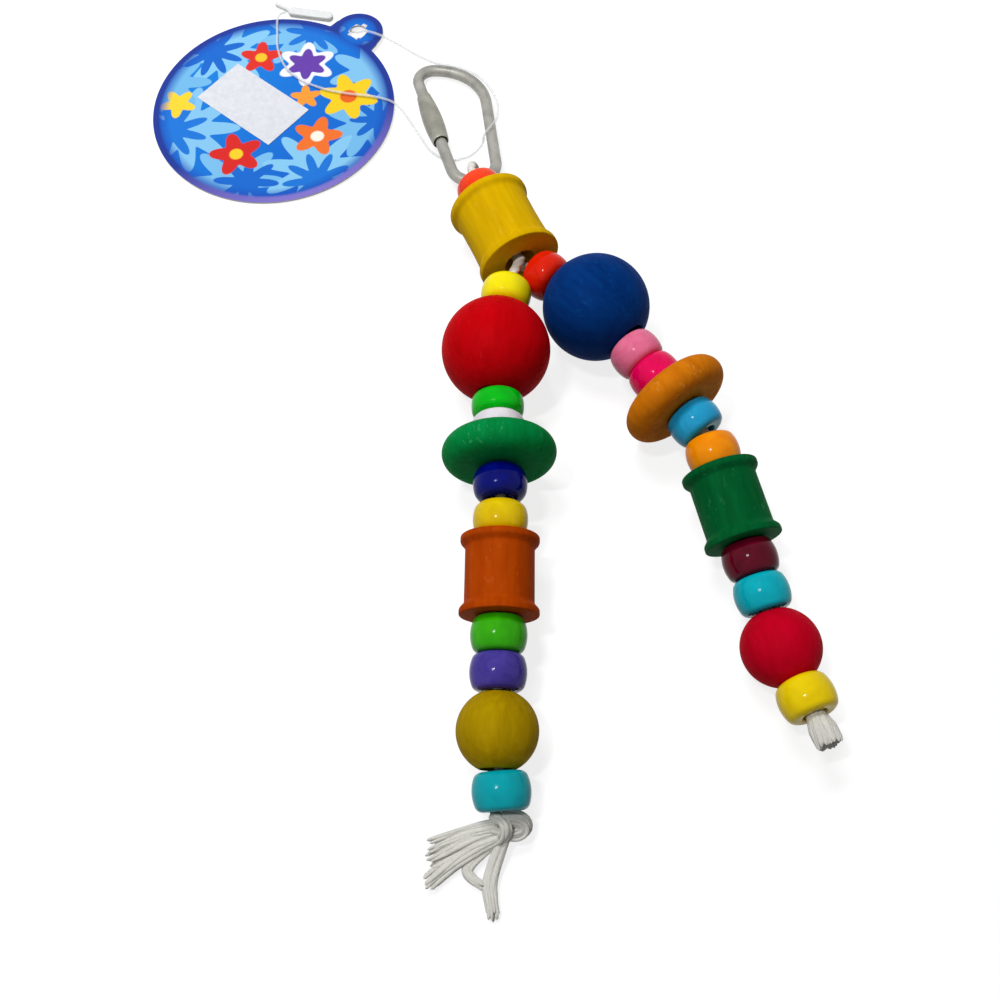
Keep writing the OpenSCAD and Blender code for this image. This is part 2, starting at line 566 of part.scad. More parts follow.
module hang_tag() color([0, 0.45, 0.8]) on_tag() difference() {
    union() {
        cylinder(d = tag_d, h = tag_t, $fn = 128);
        translate([tag_ear_reach, 0, 0]) cylinder(r = tag_ear_r, h = tag_t);
    }
    translate([tag_ear_reach, 0, -cut]) cylinder(d = tag_hole, h = tag_t + 2 * cut);
}

module price_sticker() color("white") on_tag() rotate([0, 0, -tag_turn])
    translate([sticker_place[0], sticker_place[1], tag_t]) rotate([0, 0, sticker_turn])
        translate([-sticker_len / 2, -sticker_wid / 2, 0]) cube([sticker_len, sticker_wid, sticker_t]);

module filament_lock() color("white")
translate([lock_place[0], lock_place[1], 0]) rotate([0, 0, lock_turn]) {
    translate([-(lock_len - lock_wid) / 2, -lock_wid / 2, 0])
        cube([lock_len - lock_wid, lock_wid, lock_t]);
    for (s = [-1, 1]) translate([s * (lock_len - lock_wid) / 2, 0, 0]) cylinder(d = lock_wid, h = lock_t);
    translate([-(lock_len - lock_wid) / 2, 0, lock_t / 2]) rotate([0, 0, pin_turn - lock_turn])
        rotate([0, 90, 0]) cylinder(d = pin_d, h = lock_wid / 2 + pin_len);
}

link_wire();
link_sleeve();
head_cord();
top_bead();
top_spool();
left_neck_cord();
left_cord_upper();
left_cord_middle();
left_cord_lower();
left_cord_end();
right_neck_cord();
right_cord_upper();
right_cord_middle();
right_cord_lower();
right_cord_end();
lemon_bead();
red_ball();
green_bead();
white_bead();
green_disc();
dark_blue_bead();
yellow_bead();
orange_spool();
lime_bead();
purple_bead();
olive_ball();
teal_bead();
vermilion_bead();
blue_ball();
pink_bead();
magenta_bead();
orange_disc();
sky_bead();
orange_bead();
green_spool();
maroon_bead();
turquoise_bead();
crimson_ball();
canary_bead();
left_knot();
left_tail();
right_knot();
hang_tag();
price_sticker();
tag_filament();
filament_lock();
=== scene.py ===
"""A hanging cage toy on a pale table: wire link, strung spool, two legs of wood and plastic, hang tag."""
import bmesh
import bpy
import json
import math
import numpy as np
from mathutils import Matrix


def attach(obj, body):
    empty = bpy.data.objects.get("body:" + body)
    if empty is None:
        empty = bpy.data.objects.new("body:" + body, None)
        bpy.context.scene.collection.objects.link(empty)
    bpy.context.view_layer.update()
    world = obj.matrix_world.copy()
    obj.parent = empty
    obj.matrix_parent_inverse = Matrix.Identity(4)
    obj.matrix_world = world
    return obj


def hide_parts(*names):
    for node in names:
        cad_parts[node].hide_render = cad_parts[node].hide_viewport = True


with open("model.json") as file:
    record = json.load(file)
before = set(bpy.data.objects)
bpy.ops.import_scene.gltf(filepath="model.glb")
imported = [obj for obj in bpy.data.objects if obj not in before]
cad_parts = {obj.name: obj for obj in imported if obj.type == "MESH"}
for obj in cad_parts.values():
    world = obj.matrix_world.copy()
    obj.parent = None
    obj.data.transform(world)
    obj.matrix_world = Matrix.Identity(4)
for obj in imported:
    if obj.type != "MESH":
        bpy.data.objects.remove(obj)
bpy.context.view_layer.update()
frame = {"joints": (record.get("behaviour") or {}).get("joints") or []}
MM = 0.001

# Camera


def set_camera():
    """The photograph's camera: 65 degrees above the table, level, 38.9 mm lens on a 36 mm sensor."""
    data = bpy.data.cameras.new("camera")
    data.sensor_width = 36.0
    data.lens = 38.897
    data.clip_start = 0.01
    cam = bpy.data.objects.new("camera", data)
    cam.location = (0.00982, -0.10286, 0.16949)
    cam.rotation_euler = (math.radians(25.048), 0.0, 0.0)
    bpy.context.scene.collection.objects.link(cam)
    bpy.context.scene.camera = cam


set_camera()

# Places from the part's joints

JOINTS = {j["name"]: j for j in frame["joints"]}


def unit(v):
    """A vector divided by its length."""
    v = np.asarray(v, float)
    return v / np.linalg.norm(v)


def joint_point(name):
    """The point that a joint turns about, in metres."""
    return np.array(JOINTS[name]["pos_m"], float)


def joint_axis(name):
    """The unit axis of a joint."""
    return unit(JOINTS[name]["axis"])


def across(axis):
    """Two unit vectors square to an axis and to each other, right-handed with it."""
    ref = np.array([0.0, 0.0, 1.0]) if abs(axis[2]) < 0.9 else np.array([1.0, 0.0, 0.0])
    u = unit(np.cross(ref, axis))
    return u, np.cross(axis, u)


# Meshes


def build_mesh(name, points, faces, grain=None, uv=None, smooth=True):
    """An object at the origin from points and the faces between them; grain is a vector and uv a pair
    for each point."""
    mesh = bpy.data.meshes.new(name)
    points = np.asarray(points, float)
    mesh.from_pydata(points.tolist(), [], [list(map(int, f)) for f in faces])
    mesh.update()
    mesh.polygons.foreach_set("use_smooth", np.full(len(mesh.polygons), smooth))
    if grain is not None:
        layer = mesh.attributes.new("grain", "FLOAT_VECTOR", "POINT")
        layer.data.foreach_set("vector", np.asarray(grain, float).ravel())
    if uv is not None:
        loops = np.empty(len(mesh.loops), int)
        mesh.loops.foreach_get("vertex_index", loops)
        layer = mesh.uv_layers.new(name="surface")
        layer.data.foreach_set("uv", np.asarray(uv, float)[loops].ravel())
    obj = bpy.data.objects.new(name, mesh)
    bpy.context.scene.collection.objects.link(obj)
    return obj


def grid_faces(rows, cols, wrap_rows=False, wrap_cols=False, start=0):
    """Quads of a grid of points, rows by cols, wrapped round in either direction."""
    i = np.arange(rows if wrap_rows else rows - 1)
    j = np.arange(cols if wrap_cols else cols - 1)
    i, j = np.meshgrid(i, j, indexing="ij")
    a = i * cols + j
    b = ((i + 1) % rows) * cols + j
    c = ((i + 1) % rows) * cols + (j + 1) % cols
    d = i * cols + (j + 1) % cols
    return np.stack([a, b, c, d], -1).reshape(-1, 4) + start


def turned(name, profile, centre, axis, sides, seed):
    """A closed profile of (radius, height) pairs carried round an axis: each point is the centre plus
    radius times (cos, sin) of the turn across the axis plus height along it. The grain attribute is the
    place in the piece plus a random step, so that no two pieces share a grain."""
    profile = np.asarray(profile, float)
    u, v = across(axis)
    turn = np.linspace(0, 2 * math.pi, sides, endpoint=False)
    x, y = profile[:, 0] * np.cos(turn)[:, None], profile[:, 0] * np.sin(turn)[:, None]
    z = np.broadcast_to(profile[:, 1], x.shape)
    points = centre + x[..., None] * u + y[..., None] * v + z[..., None] * axis
    local = np.stack([x, y, z], -1) + np.random.default_rng(seed).uniform(-0.5, 0.5, 3)
    return build_mesh(name, points.reshape(-1, 3), grid_faces(sides, len(profile), True, True),
                      grain=local.reshape(-1, 3))


def arc(cr, cz, radius, start, end, steps):
    """Points of a circular arc in the (radius, height) plane, from one angle to another in degrees."""
    t = np.radians(np.linspace(start, end, steps))
    return np.stack([cr + radius * np.cos(t), cz + radius * np.sin(t)], -1)


def line(a, b, steps):
    """Evenly spaced points from a to b, the last one left out."""
    t = np.linspace(0, 1, steps, endpoint=False)[:, None]
    return np.asarray(a) * (1 - t) + np.asarray(b) * t


def bead_profile(length, corner=1.25):
    """A pony bead in mm: its side is an arc of radius 6, its corners smaller arcs that touch the side
    and the flat face, its hole straight with a soft lip."""
    half, outer, hole, lip, crown = length / 2, 4.5, 2.0, 0.3, 6.0
    corner = min(corner, half - 0.15)
    middle = outer - crown
    at = middle + math.sqrt((crown - corner) ** 2 - (half - corner) ** 2)
    lean = math.degrees(math.atan2(half - corner, at - middle))
    side = arc(middle, 0, crown, -lean, lean, 17)[1:-1]
    upper = arc(at, half - corner, corner, lean, 90, 12)
    lower = arc(at, corner - half, corner, 270, 360 - lean, 12)
    inner = arc(hole + lip, half - lip, lip, 90, 180, 7)
    wall = line((hole, half - lip), (hole, lip - half), 5)[1:]
    low_lip = arc(hole + lip, lip - half, lip, 180, 270, 7)
    return np.concatenate([lower, side, upper, line((at, half), (hole + lip, half), 4)[1:], inner, wall,
                           low_lip, line((hole + lip, -half), (at, -half), 4)[1:]]) * MM


def ball_profile(diameter, hole):
    """A drilled ball in mm: a sphere's arc between the two mouths of its hole, each with a soft edge."""
    r, h, soft = diameter / 2, hole / 2, 0.25
    top = math.degrees(math.acos((h + soft) / r))
    z = math.sqrt(r * r - (h + soft) ** 2)
    edge = np.array([[h + soft * 0.35, z - soft * 0.1], [h, z - soft * 0.9]])
    mouth = z - soft * 1.3
    return np.concatenate([arc(0, 0, r, -top, top, 64), edge, line((h, mouth), (h, -mouth), 9),
                           [[h, -mouth]], edge[::-1] * (1, -1)]) * MM


def disc_profile(diameter, thick, hole):
    """A drilled disc in mm with a full round rim and softly rounded mouths of its hole."""
    h, t, soft = hole / 2, thick / 2, 0.25
    flat = diameter / 2 - t
    rim = arc(flat, 0, t, -90, 90, 34)
    top = line((flat, t), (h + soft, t), 8)[1:]
    lip = arc(h + soft, t - soft, soft, 90, 180, 6)
    wall = line((h, t - soft), (h, soft - t), 4)[1:]
    foot = arc(h + soft, soft - t, soft, 180, 270, 6)
    low = line((h + soft, -t), (flat, -t), 8)[1:]
    return np.concatenate([rim, top, lip, wall, foot, low]) * MM


def spool_profile(diameter, barrel, length, flange, hole, waist, rim, ease):
    """A spool in mm: flanges with an upright rim and a bevel down to the barrel, whose side is part of
    a circle where it has a waist. Each corner (r, z, e) gives way to the curve
    (1-t)^2 a + 2t(1-t) corner + t^2 b between the points e away from it along its two sides."""
    h, half, outer, b, edge = hole / 2, length / 2, diameter / 2, barrel / 2, 0.3
    inner = half - flange
    z = np.linspace(-inner, inner, 9)
    side = np.stack([b - waist * (1 - (z / inner) ** 2), z, np.full(9, 0.45 * inner / 4)], -1)
    side[[0, -1], 2] = ease
    c = np.vstack([[(outer, -half, edge), (outer, rim - half, edge)], side,
                   [(outer, half - rim, edge), (outer, half, edge), (h, half, edge), (h, -half, edge)]])
    here, e = c[:, :2], c[:, 2:]
    back, ahead = np.roll(here, 1, 0) - here, np.roll(here, -1, 0) - here
    a = here + back * e / np.linalg.norm(back, axis=1)[:, None]
    d = here + ahead * e / np.linalg.norm(ahead, axis=1)[:, None]
    t = np.linspace(0, 1, 7)[None, :, None]
    curve = (1 - t) ** 2 * a[:, None] + 2 * t * (1 - t) * here[:, None] + t ** 2 * d[:, None]
    return curve.reshape(-1, 2) * MM


def smooth_route(route, steps):
    """A Catmull-Rom curve through the route's points: each span is the usual cubic of its two ends
    and their two neighbours."""
    p = np.asarray(route, float)
    before, after = np.vstack([p[:1], p[:-2]]), np.vstack([p[2:], p[-1:]])
    a, b, c, d = (x[:, None] for x in (before, p[:-1], p[1:], after))
    t = np.linspace(0, 1, steps, endpoint=False)[None, :, None]
    square, cube = (2 * a - 5 * b + 4 * c - d) * t ** 2, (3 * b - a - 3 * c + d) * t ** 3
    return np.vstack([(0.5 * (2 * b + (c - a) * t + square + cube)).reshape(-1, 3), p[-1:]])


def way_along(points):
    """Distance along a line at each of its points."""
    return np.concatenate([[0], np.cumsum(np.linalg.norm(np.diff(points, axis=0), axis=1))])


def even_route(points, spacing):
    """The same line cut again at even distances, and the distance along it at each new point."""
    run = way_along(points)
    s = np.linspace(0, run[-1], max(int(round(run[-1] / spacing)), 3) + 1)
    return np.stack([np.interp(s, run, points[:, k]) for k in range(3)], -1), s


def carried_frames(points):
    """Unit tangents of a line, and two unit vectors square to it that turn as little as they can."""
    t = np.gradient(points, axis=0)
    t /= np.linalg.norm(t, axis=1)[:, None]
    u = np.empty_like(t)
    first = across(t[0])[0]
    for k, tangent in enumerate(t):
        first = unit(first - np.dot(first, tangent) * tangent)
        u[k] = first
    return t, u, np.cross(t, u)


def tube_arrays(points, s, radius, sides, plies=0, pitch=1.0, depth=0.0, start=0):
    """A tube along points: ring k is the point plus radius times (cos, sin) in the carried frame.
    With plies the radius rises and falls plies times round, and that pattern turns once a pitch,
    which makes the lobes of a twisted cord. The ends narrow to a rounded cap that one face closes.
    Gives points, faces counted from start, and the map: turns round and mm along."""
    _, u, v = carried_frames(points)
    turn = np.linspace(0, 2 * math.pi, sides, endpoint=False)
    r = np.broadcast_to(np.asarray(radius, float), s.shape)
    near = np.minimum(s, s[-1] - s)
    r = r * np.sqrt(np.clip(1 - np.clip(1 - near / (r + 1e-9), 0, 1) ** 2, 0.004, 1))
    lobes = np.ones((len(s), sides))
    if plies:
        twist = turn[None] - 2 * math.pi * s[:, None] / pitch
        lobes = 1 - depth * (1 - np.abs(np.cos(plies * twist / 2)))
    ring = (r[:, None] * lobes)[..., None]
    ring = ring * (np.cos(turn)[None, :, None] * u[:, None] + np.sin(turn)[None, :, None] * v[:, None])
    faces = grid_faces(len(s), sides, False, True, start)[:, ::-1].tolist()
    first, last = start + np.arange(sides), start + (len(s) - 1) * sides + np.arange(sides)
    uv = np.stack(np.broadcast_arrays(turn / (2 * math.pi), s[:, None] / MM), -1)
    points = (points[:, None] + ring).reshape(-1, 3)
    return points, faces + [first.tolist(), last[::-1].tolist()], uv.reshape(-1, 2)


def tube(name, route, diameter, sides, spacing, steps=8, **twist):
    """One smooth tube along a route given in metres; gives the piece and its line."""
    fine, s = even_route(smooth_route(route, steps), spacing)
    points, faces, uv = tube_arrays(fine, s, diameter / 2, sides, **twist)
    return build_mesh(name, points, faces, uv=uv), fine


def bundle(name, strands, sides):
    """Many thin tubes in one mesh: strands is a list of (points, radii)."""
    points, faces, uv = [], [], []
    for fine, radius in strands:
        start = sum(map(len, points))
        ring, ring_faces, ring_uv = tube_arrays(fine, way_along(fine), radius, sides, start=start)
        points.append(ring)
        faces += ring_faces
        uv.append(ring_uv)
    return build_mesh(name, np.vstack(points), faces, uv=np.vstack(uv))


def weld(obj, distance):
    """Merges doubles, closes what stays open and turns all faces outwards."""
    bm = bmesh.new()
    bm.from_mesh(obj.data)
    bmesh.ops.remove_doubles(bm, verts=bm.verts, dist=distance)
    open_edges = [e for e in bm.edges if e.is_boundary]
    if open_edges:
        bmesh.ops.holes_fill(bm, edges=open_edges, sides=0)
    bmesh.ops.recalc_face_normals(bm, faces=bm.faces)
    bm.to_mesh(obj.data)
    bm.free()


def dress(obj, mat, body, node):
    """Gives a piece its material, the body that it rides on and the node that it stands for."""
    obj.data.materials.append(mat)
    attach(obj, body)
    if node:
        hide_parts(node)


# Material tools


def fill(tree, node, inputs):
    """Links or sets a node's inputs, by name or number."""
    for key, value in inputs.items():
        if isinstance(value, bpy.types.NodeSocket):
            tree.links.new(value, node.inputs[key])
        else:
            node.inputs[key].default_value = value
    return node


def put(tree, kind, inputs, **settings):
    """A new node with its settings and inputs."""
    node = tree.nodes.new("ShaderNode" + kind)
    for key, value in settings.items():
        setattr(node, key, value)
    return fill(tree, node, inputs)


def maths(tree, operation, a, b=0.0, c=0.0, clamp=False):
    """A Math node on values or sockets; gives its output."""
    return put(tree, "Math", {0: a, 1: b, 2: c}, operation=operation, use_clamp=clamp).outputs[0]


def mixed(tree, share, a, b):
    """Colour a giving way to colour b as the share goes from 0 to 1; gives the Mix node's output."""
    return put(tree, "Mix", {0: share, 6: a, 7: b}, data_type="RGBA").outputs[2]


def span(tree, value, low, high, to_low=0.0, to_high=1.0):
    """Map Range from one span to another, clamped; gives its output."""
    return put(tree, "MapRange", {0: value, 1: low, 2: high, 3: to_low, 4: to_high}).outputs[0]


def noise(tree, place, scale, detail, rough=0.5, distortion=0.0):
    """A Noise Texture read at a place; gives its output."""
    return put(tree, "TexNoise", {"Vector": place, "Scale": scale, "Detail": detail, "Roughness": rough,
                                  "Distortion": distortion}).outputs[0]


def bump(tree, height, strength, distance):
    """A Bump node's normal from a height."""
    return put(tree, "Bump", {"Height": height, "Strength": strength, "Distance": distance}).outputs[0]


def grain_place(tree):
    """The place in the piece, as the mesh's grain attribute holds it."""
    return put(tree, "Attribute", {}, attribute_name="grain").outputs["Vector"]


def new_material(name):
    """A material with its Principled shader linked to its output; gives it, its tree and the shader."""
    mat = bpy.data.materials.new(name)
    mat.use_nodes = True
    mat.node_tree.nodes.clear()
    shader = put(mat.node_tree, "BsdfPrincipled", {})
    put(mat.node_tree, "OutputMaterial", {0: shader.outputs[0]})
    return mat, mat.node_tree, shader


def new_group(name, inputs, outputs):
    """An empty shader node group with a vector as its first input and floats else; gives it, its inputs
    as sockets to read and its output node."""
    tree = bpy.data.node_groups.new(name, "ShaderNodeTree")
    for way, labels in (("INPUT", inputs), ("OUTPUT", outputs)):
        for label in labels:
            kind = "Vector" if label == inputs[0] else "Float"
            tree.interface.new_socket(label, in_out=way, socket_type="NodeSocket" + kind)
    return tree, tree.nodes.new("NodeGroupInput").outputs, tree.nodes.new("NodeGroupOutput")


def make_wood_grain():
    """Turned wood under dye: streaks along the axis, growth bands across it, and pale open pores that
    gather where the end grain shows."""
    tree, given, out = new_group("wood_grain", ("Place", "Bands", "Pores"), ("Streak", "Pore", "Height"))

    def stretched(scale, detail):
        """Noise on the place times a scale."""
        place = put(tree, "VectorMath", {0: given["Place"], 1: scale}, operation="MULTIPLY")
        return noise(tree, place.outputs[0], 1.0, detail, 0.6)

    fine, slow = stretched((900, 900, 110), 5.0), stretched((260, 260, 60), 3.0)
    pore = span(tree, stretched((1500, 1500, 600), 2.0), 0.6, 0.72)
    where = span(tree, stretched((170, 170, 170), 1.0), 0.4, 0.62)
    pore = maths(tree, "MULTIPLY", maths(tree, "MULTIPLY", pore, where), given["Pores"])
    bands = maths(tree, "MULTIPLY", slow, given["Bands"])
    fill(tree, out, {"Streak": maths(tree, "MULTIPLY_ADD", fine, 0.6, bands), "Pore": pore,
                     "Height": maths(tree, "MULTIPLY_ADD", pore, -0.6, fine)})
    return tree


def make_moulded():
    """Moulded plastic: faint swirls in the colour, soft unevenness and a few fine scuffs."""
    tree, given, out = new_group("moulded_plastic", ("Place",), ("Swirl", "Rough", "Height"))
    place = given["Place"]
    scuff = noise(tree, place, 900.0, 4.0, 0.7)
    fill(tree, out, {"Swirl": noise(tree, place, 260.0, 2.0, distortion=1.2),
                     "Rough": span(tree, scuff, 0.45, 0.75, 0.1, 0.24),
                     "Height": noise(tree, place, 420.0, 1.0)})
    return tree


def make_fibre():
    """Spun fibre on a tube's own map, round by length: fine streaks that lean with the twist."""
    tree, given, out = new_group("spun_fibre", ("Around", "Lean"), ("Shade", "Height"))
    parts = put(tree, "SeparateXYZ", {0: given["Around"]}).outputs
    lean = maths(tree, "MULTIPLY_ADD", parts[1], given["Lean"], parts[0])
    turn = maths(tree, "MULTIPLY", lean, 2 * math.pi)
    ring = put(tree, "CombineXYZ", {0: maths(tree, "COSINE", turn), 1: maths(tree, "SINE", turn),
                                    2: maths(tree, "MULTIPLY", parts[1], 0.35)})
    streak = noise(tree, ring.outputs[0], 5.5, 5.0, 0.65)
    fill(tree, out, {"Shade": streak, "Height": streak})
    return tree


def make_plate():
    """Nickel plate: soft clouds and fine drawn lines that vary the polish."""
    tree, given, out = new_group("plated_metal", ("Place",), ("Cloud", "Rough", "Height"))
    lines = noise(tree, given["Place"], 2600.0, 3.0)
    fill(tree, out, {"Cloud": noise(tree, given["Place"], 320.0, 4.0),
                     "Rough": span(tree, lines, 0.3, 0.7, 0.4, 0.54), "Height": lines})
    return tree


WOOD, PLASTIC, FIBRE, PLATE = make_wood_grain(), make_moulded(), make_fibre(), make_plate()


def linear(r, g, b):
    """A screen colour of 0 to 255 as the linear colour that the shader takes."""
    c = np.array([r, g, b]) / 255.0
    return (*np.where(c <= 0.04045, c / 12.92, ((c + 0.055) / 1.055) ** 2.4).tolist(), 1.0)


def dyed_wood(name, colour, dark, pale, pores):
    """Dyed, nearly matt wood: the dye darker along the grain and worn pale in the pores."""
    mat, tree, shader = new_material(name)
    grain = put(tree, "Group", {"Place": grain_place(tree), "Bands": 0.4, "Pores": pores},
                node_tree=WOOD).outputs
    dyed = mixed(tree, span(tree, grain["Streak"], 0.34, 0.66), linear(*dark), linear(*colour))
    fill(tree, shader, {"Base Color": mixed(tree, grain["Pore"], dyed, linear(*pale)),
                        "Roughness": span(tree, grain["Streak"], 0.3, 0.8, 0.72, 0.58),
                        "Specular IOR Level": 0.05, "Normal": bump(tree, grain["Height"], 0.2, 0.00012)})
    return mat


def pony_plastic(name, colour, deep):
    """Glossy moulded plastic whose colour swirls faintly towards a deeper one."""
    mat, tree, shader = new_material(name)
    look = put(tree, "Group", {"Place": grain_place(tree)}, node_tree=PLASTIC).outputs
    swirl = span(tree, look["Swirl"], 0.35, 0.65)
    fill(tree, shader, {"Base Color": mixed(tree, swirl, linear(*deep), linear(*colour)),
                        "Roughness": look["Rough"], "Specular IOR Level": 0.08, "Coat Weight": 0.03,
                        "Coat Roughness": 0.08, "Subsurface Weight": 0.05,
                        "Subsurface Radius": (0.001, 0.0008, 0.0006),
                        "Normal": bump(tree, look["Height"], 0.1, 0.0002)})
    return mat


def cotton(name, pale, shade, lean):
    """Off-white cotton, its plies and loose fibres shaded along the twist."""
    mat, tree, shader = new_material(name)
    around = put(tree, "UVMap", {}, uv_map="surface").outputs[0]
    look = put(tree, "Group", {"Around": around, "Lean": lean}, node_tree=FIBRE).outputs
    tone = span(tree, look["Shade"], 0.32, 0.66)
    fill(tree, shader, {"Base Color": mixed(tree, tone, linear(*shade), linear(*pale)),
                        "Roughness": span(tree, look["Shade"], 0.3, 0.7, 0.9, 0.7), "Sheen Weight": 0.3,
                        "Sheen Roughness": 0.5, "Specular IOR Level": 0.2,
                        "Normal": bump(tree, look["Height"], 0.7, 0.00025)})
    return mat


def nickel(name, colour, shade):
    """Satin nickel plate, partly dulled."""
    mat, tree, shader = new_material(name)
    place = put(tree, "TexCoord", {}).outputs["Object"]
    look = put(tree, "Group", {"Place": place}, node_tree=PLATE).outputs
    cloud = span(tree, look["Cloud"], 0.35, 0.65)
    fill(tree, shader, {"Base Color": mixed(tree, cloud, linear(*shade), linear(*colour)),
                        "Roughness": look["Rough"], "Metallic": 0.55,
                        "Normal": bump(tree, look["Height"], 0.06, 0.00005)})
    return mat


def nylon(name, colour, shade, alpha):
    """Milky nylon, faintly cloudy."""
    mat, tree, shader = new_material(name)
    place = put(tree, "TexCoord", {}).outputs["Object"]
    look = put(tree, "Group", {"Place": place}, node_tree=PLASTIC).outputs
    fill(tree, shader, {"Base Color": mixed(tree, look["Swirl"], linear(*shade), linear(*colour)),
                        "Roughness": span(tree, look["Rough"], 0.1, 0.24, 0.25, 0.4),
                        "Subsurface Weight": 0.15, "Subsurface Radius": (0.001, 0.001, 0.001),
                        "Alpha": alpha, "Normal": bump(tree, look["Height"], 0.15, 0.0001)})
    return mat


# Free nylon filament and its lock

FILAMENT_MM = [
    (-36.8, 93.5, 0.8), (-38, 92.6, 1.2), (-38.4, 90.4, 1.5), (-38.1, 86.5, 1.45), (-37.6, 82, 1.4),
    (-35.8, 77.2, 1.4), (-32.8, 73.7, 1.4), (-28.2, 71, 1.4), (-22.7, 69.3, 1.45), (-16.2, 68.2, 1.5),
    (-11.6, 66, 1.5), (-7.7, 60.2, 1), (-4.2, 54.4, 0.5), (-0.6, 52, 0.5), (2.6, 52.5, 0.6),
    (4.8, 53.7, 0.9), (6.3, 55.1, 2), (6.6, 55.7, 3.5), (7.6, 56.8, 4.4), (9.1, 59.2, 4.5),
    (9.4, 62.6, 4.2), (8.7, 66, 3.9), (7.2, 69.4, 3.6), (4.6, 72.6, 3.3), (0.8, 74.9, 3.1),
    (-3.7, 76.1, 3), (-7.7, 78.6, 2.8), (-11.7, 81.9, 2.6), (-15.7, 84.8, 2.4), (-18.8, 86.5, 2),
    (-20.6, 87.2, 1.1), (-22.2, 88.2, 0.4), (-24.2, 89.8, 0.3), (-25.8, 91.5, 0.6)]
FILAMENT_D, PIN_D = 0.0005, 0.0009
LOCK_LENGTH, LOCK_WIDTH, LOCK_THICK, LOCK_ROUND = 10.0, 2.2, 1.2, 0.3
LOCK_PLACE, LOCK_TURN = np.array([-31.5, 93.1]), math.radians(-10)
PIN_FROM_MIDDLE, PIN_LENGTH, PIN_TURN = 3.9, 4.85, math.radians(149)


def heading(angle):
    """The unit vector (cos, sin) of an angle."""
    return np.array([math.cos(angle), math.sin(angle)])


def turned_flat(x, y, angle):
    """Plane coordinates turned by an angle about the origin."""
    c, s = heading(angle)
    return x * c - y * s, x * s + y * c


def lock_points(sides):
    """The filament's flat lock, in mm: a bar with round ends and a softly rounded edge. Outline and section
    are two parameters: the outline's normal carries a quarter-round from the rim up to the flat face."""
    a = np.radians(np.linspace(0, 360, sides, endpoint=False))
    reach = (LOCK_LENGTH - LOCK_WIDTH) / 2
    inset = np.array([LOCK_WIDTH / 2, LOCK_WIDTH / 4, LOCK_ROUND, LOCK_ROUND * 0.3, 0])
    rise = np.array([0, 0, 0, LOCK_ROUND * 0.3, LOCK_ROUND])
    r = LOCK_WIDTH / 2 - np.concatenate([inset, inset[::-1]])
    x = np.where(np.cos(a) >= 0, reach, -reach)[:, None] + r * np.cos(a)[:, None]
    x, y = turned_flat(x, r * np.sin(a)[:, None], LOCK_TURN)
    z = np.broadcast_to(np.concatenate([rise, LOCK_THICK - rise[::-1]]), x.shape)
    return np.stack([x + LOCK_PLACE[0], y + LOCK_PLACE[1], z], -1)


def make_filament():
    """The filament as a swept tube along its route, and the lock with its spent pin."""
    nylon_line = nylon("nylon_line", (246, 248, 250), (226, 230, 232), 0.4)
    nylon_lock = nylon("nylon_lock", (246, 248, 248), (228, 231, 232), 0.8)
    fil, fine = tube("nylon_filament", np.array(FILAMENT_MM) * MM, FILAMENT_D, sides=12,
                     spacing=0.00035, steps=10)
    dress(fil, nylon_line, "link", "tag_filament")
    pts = lock_points(72) * MM
    lock = build_mesh("filament_lock_bar", pts.reshape(-1, 3), grid_faces(*pts.shape[:2], True, False),
                      grain=pts.reshape(-1, 3))
    weld(lock, 0.00002)
    dress(lock, nylon_lock, "link", "filament_lock")
    start = np.append(LOCK_PLACE - PIN_FROM_MIDDLE * heading(LOCK_TURN), LOCK_THICK / 2)
    way = np.append(heading(PIN_TURN), 0)
    route = np.array([start, start + way * 2, start + way * PIN_LENGTH]) * MM
    pin, _ = tube("spent_pin", route, PIN_D, sides=16, spacing=PIN_D * 0.2)
    dress(pin, nylon_lock, "link", None)


make_filament()

# Strung pieces

# name: colour and deeper tone
PLASTIC_TONES = {
    "top_bead": ((250, 72, 32), (238, 58, 22)), "lemon_bead": ((250, 234, 10), (240, 222, 0)),
    "green_bead": ((0, 200, 24), (0, 182, 22)), "white_bead": ((236, 232, 238), (222, 218, 226)),
    "dark_blue_bead": ((0, 14, 122), (0, 6, 104)), "yellow_bead": ((234, 202, 0), (220, 186, 0)),
    "lime_bead": ((62, 184, 8), (50, 168, 6)), "purple_bead": ((74, 60, 156), (60, 48, 140)),
    "teal_bead": ((0, 168, 180), (0, 156, 168)), "vermilion_bead": ((232, 40, 10), (216, 26, 2)),
    "pink_bead": ((240, 122, 158), (228, 106, 144)), "magenta_bead": ((242, 0, 96), (228, 0, 84)),
    "sky_bead": ((40, 168, 216), (26, 152, 202)), "orange_bead": ((255, 152, 0), (248, 138, 0)),
    "maroon_bead": ((104, 6, 34), (88, 2, 26)), "turquoise_bead": ((0, 184, 200), (0, 170, 188)),
    "canary_bead": ((250, 218, 0), (240, 206, 0))}
# name: colour, deeper tone and the pale tone of the worn pores
WOOD_TONES = {
    "top_spool": ((226, 182, 0), (208, 162, 0), (232, 200, 90)),
    "red_ball": ((204, 0, 12), (180, 0, 6), (214, 40, 40)),
    "green_disc": ((0, 138, 68), (0, 116, 50), (70, 176, 110)),
    "orange_spool": ((186, 72, 0), (160, 56, 0), (204, 110, 44)),
    "olive_ball": ((180, 148, 0), (154, 122, 0), (196, 172, 60)),
    "blue_ball": ((0, 54, 122), (0, 40, 102), (10, 92, 150)),
    "orange_disc": ((226, 132, 16), (200, 108, 6), (240, 176, 90)),
    "green_spool": ((0, 98, 48), (0, 78, 34), (70, 150, 100)),
    "crimson_ball": ((206, 0, 36), (184, 0, 26), (218, 40, 66))}

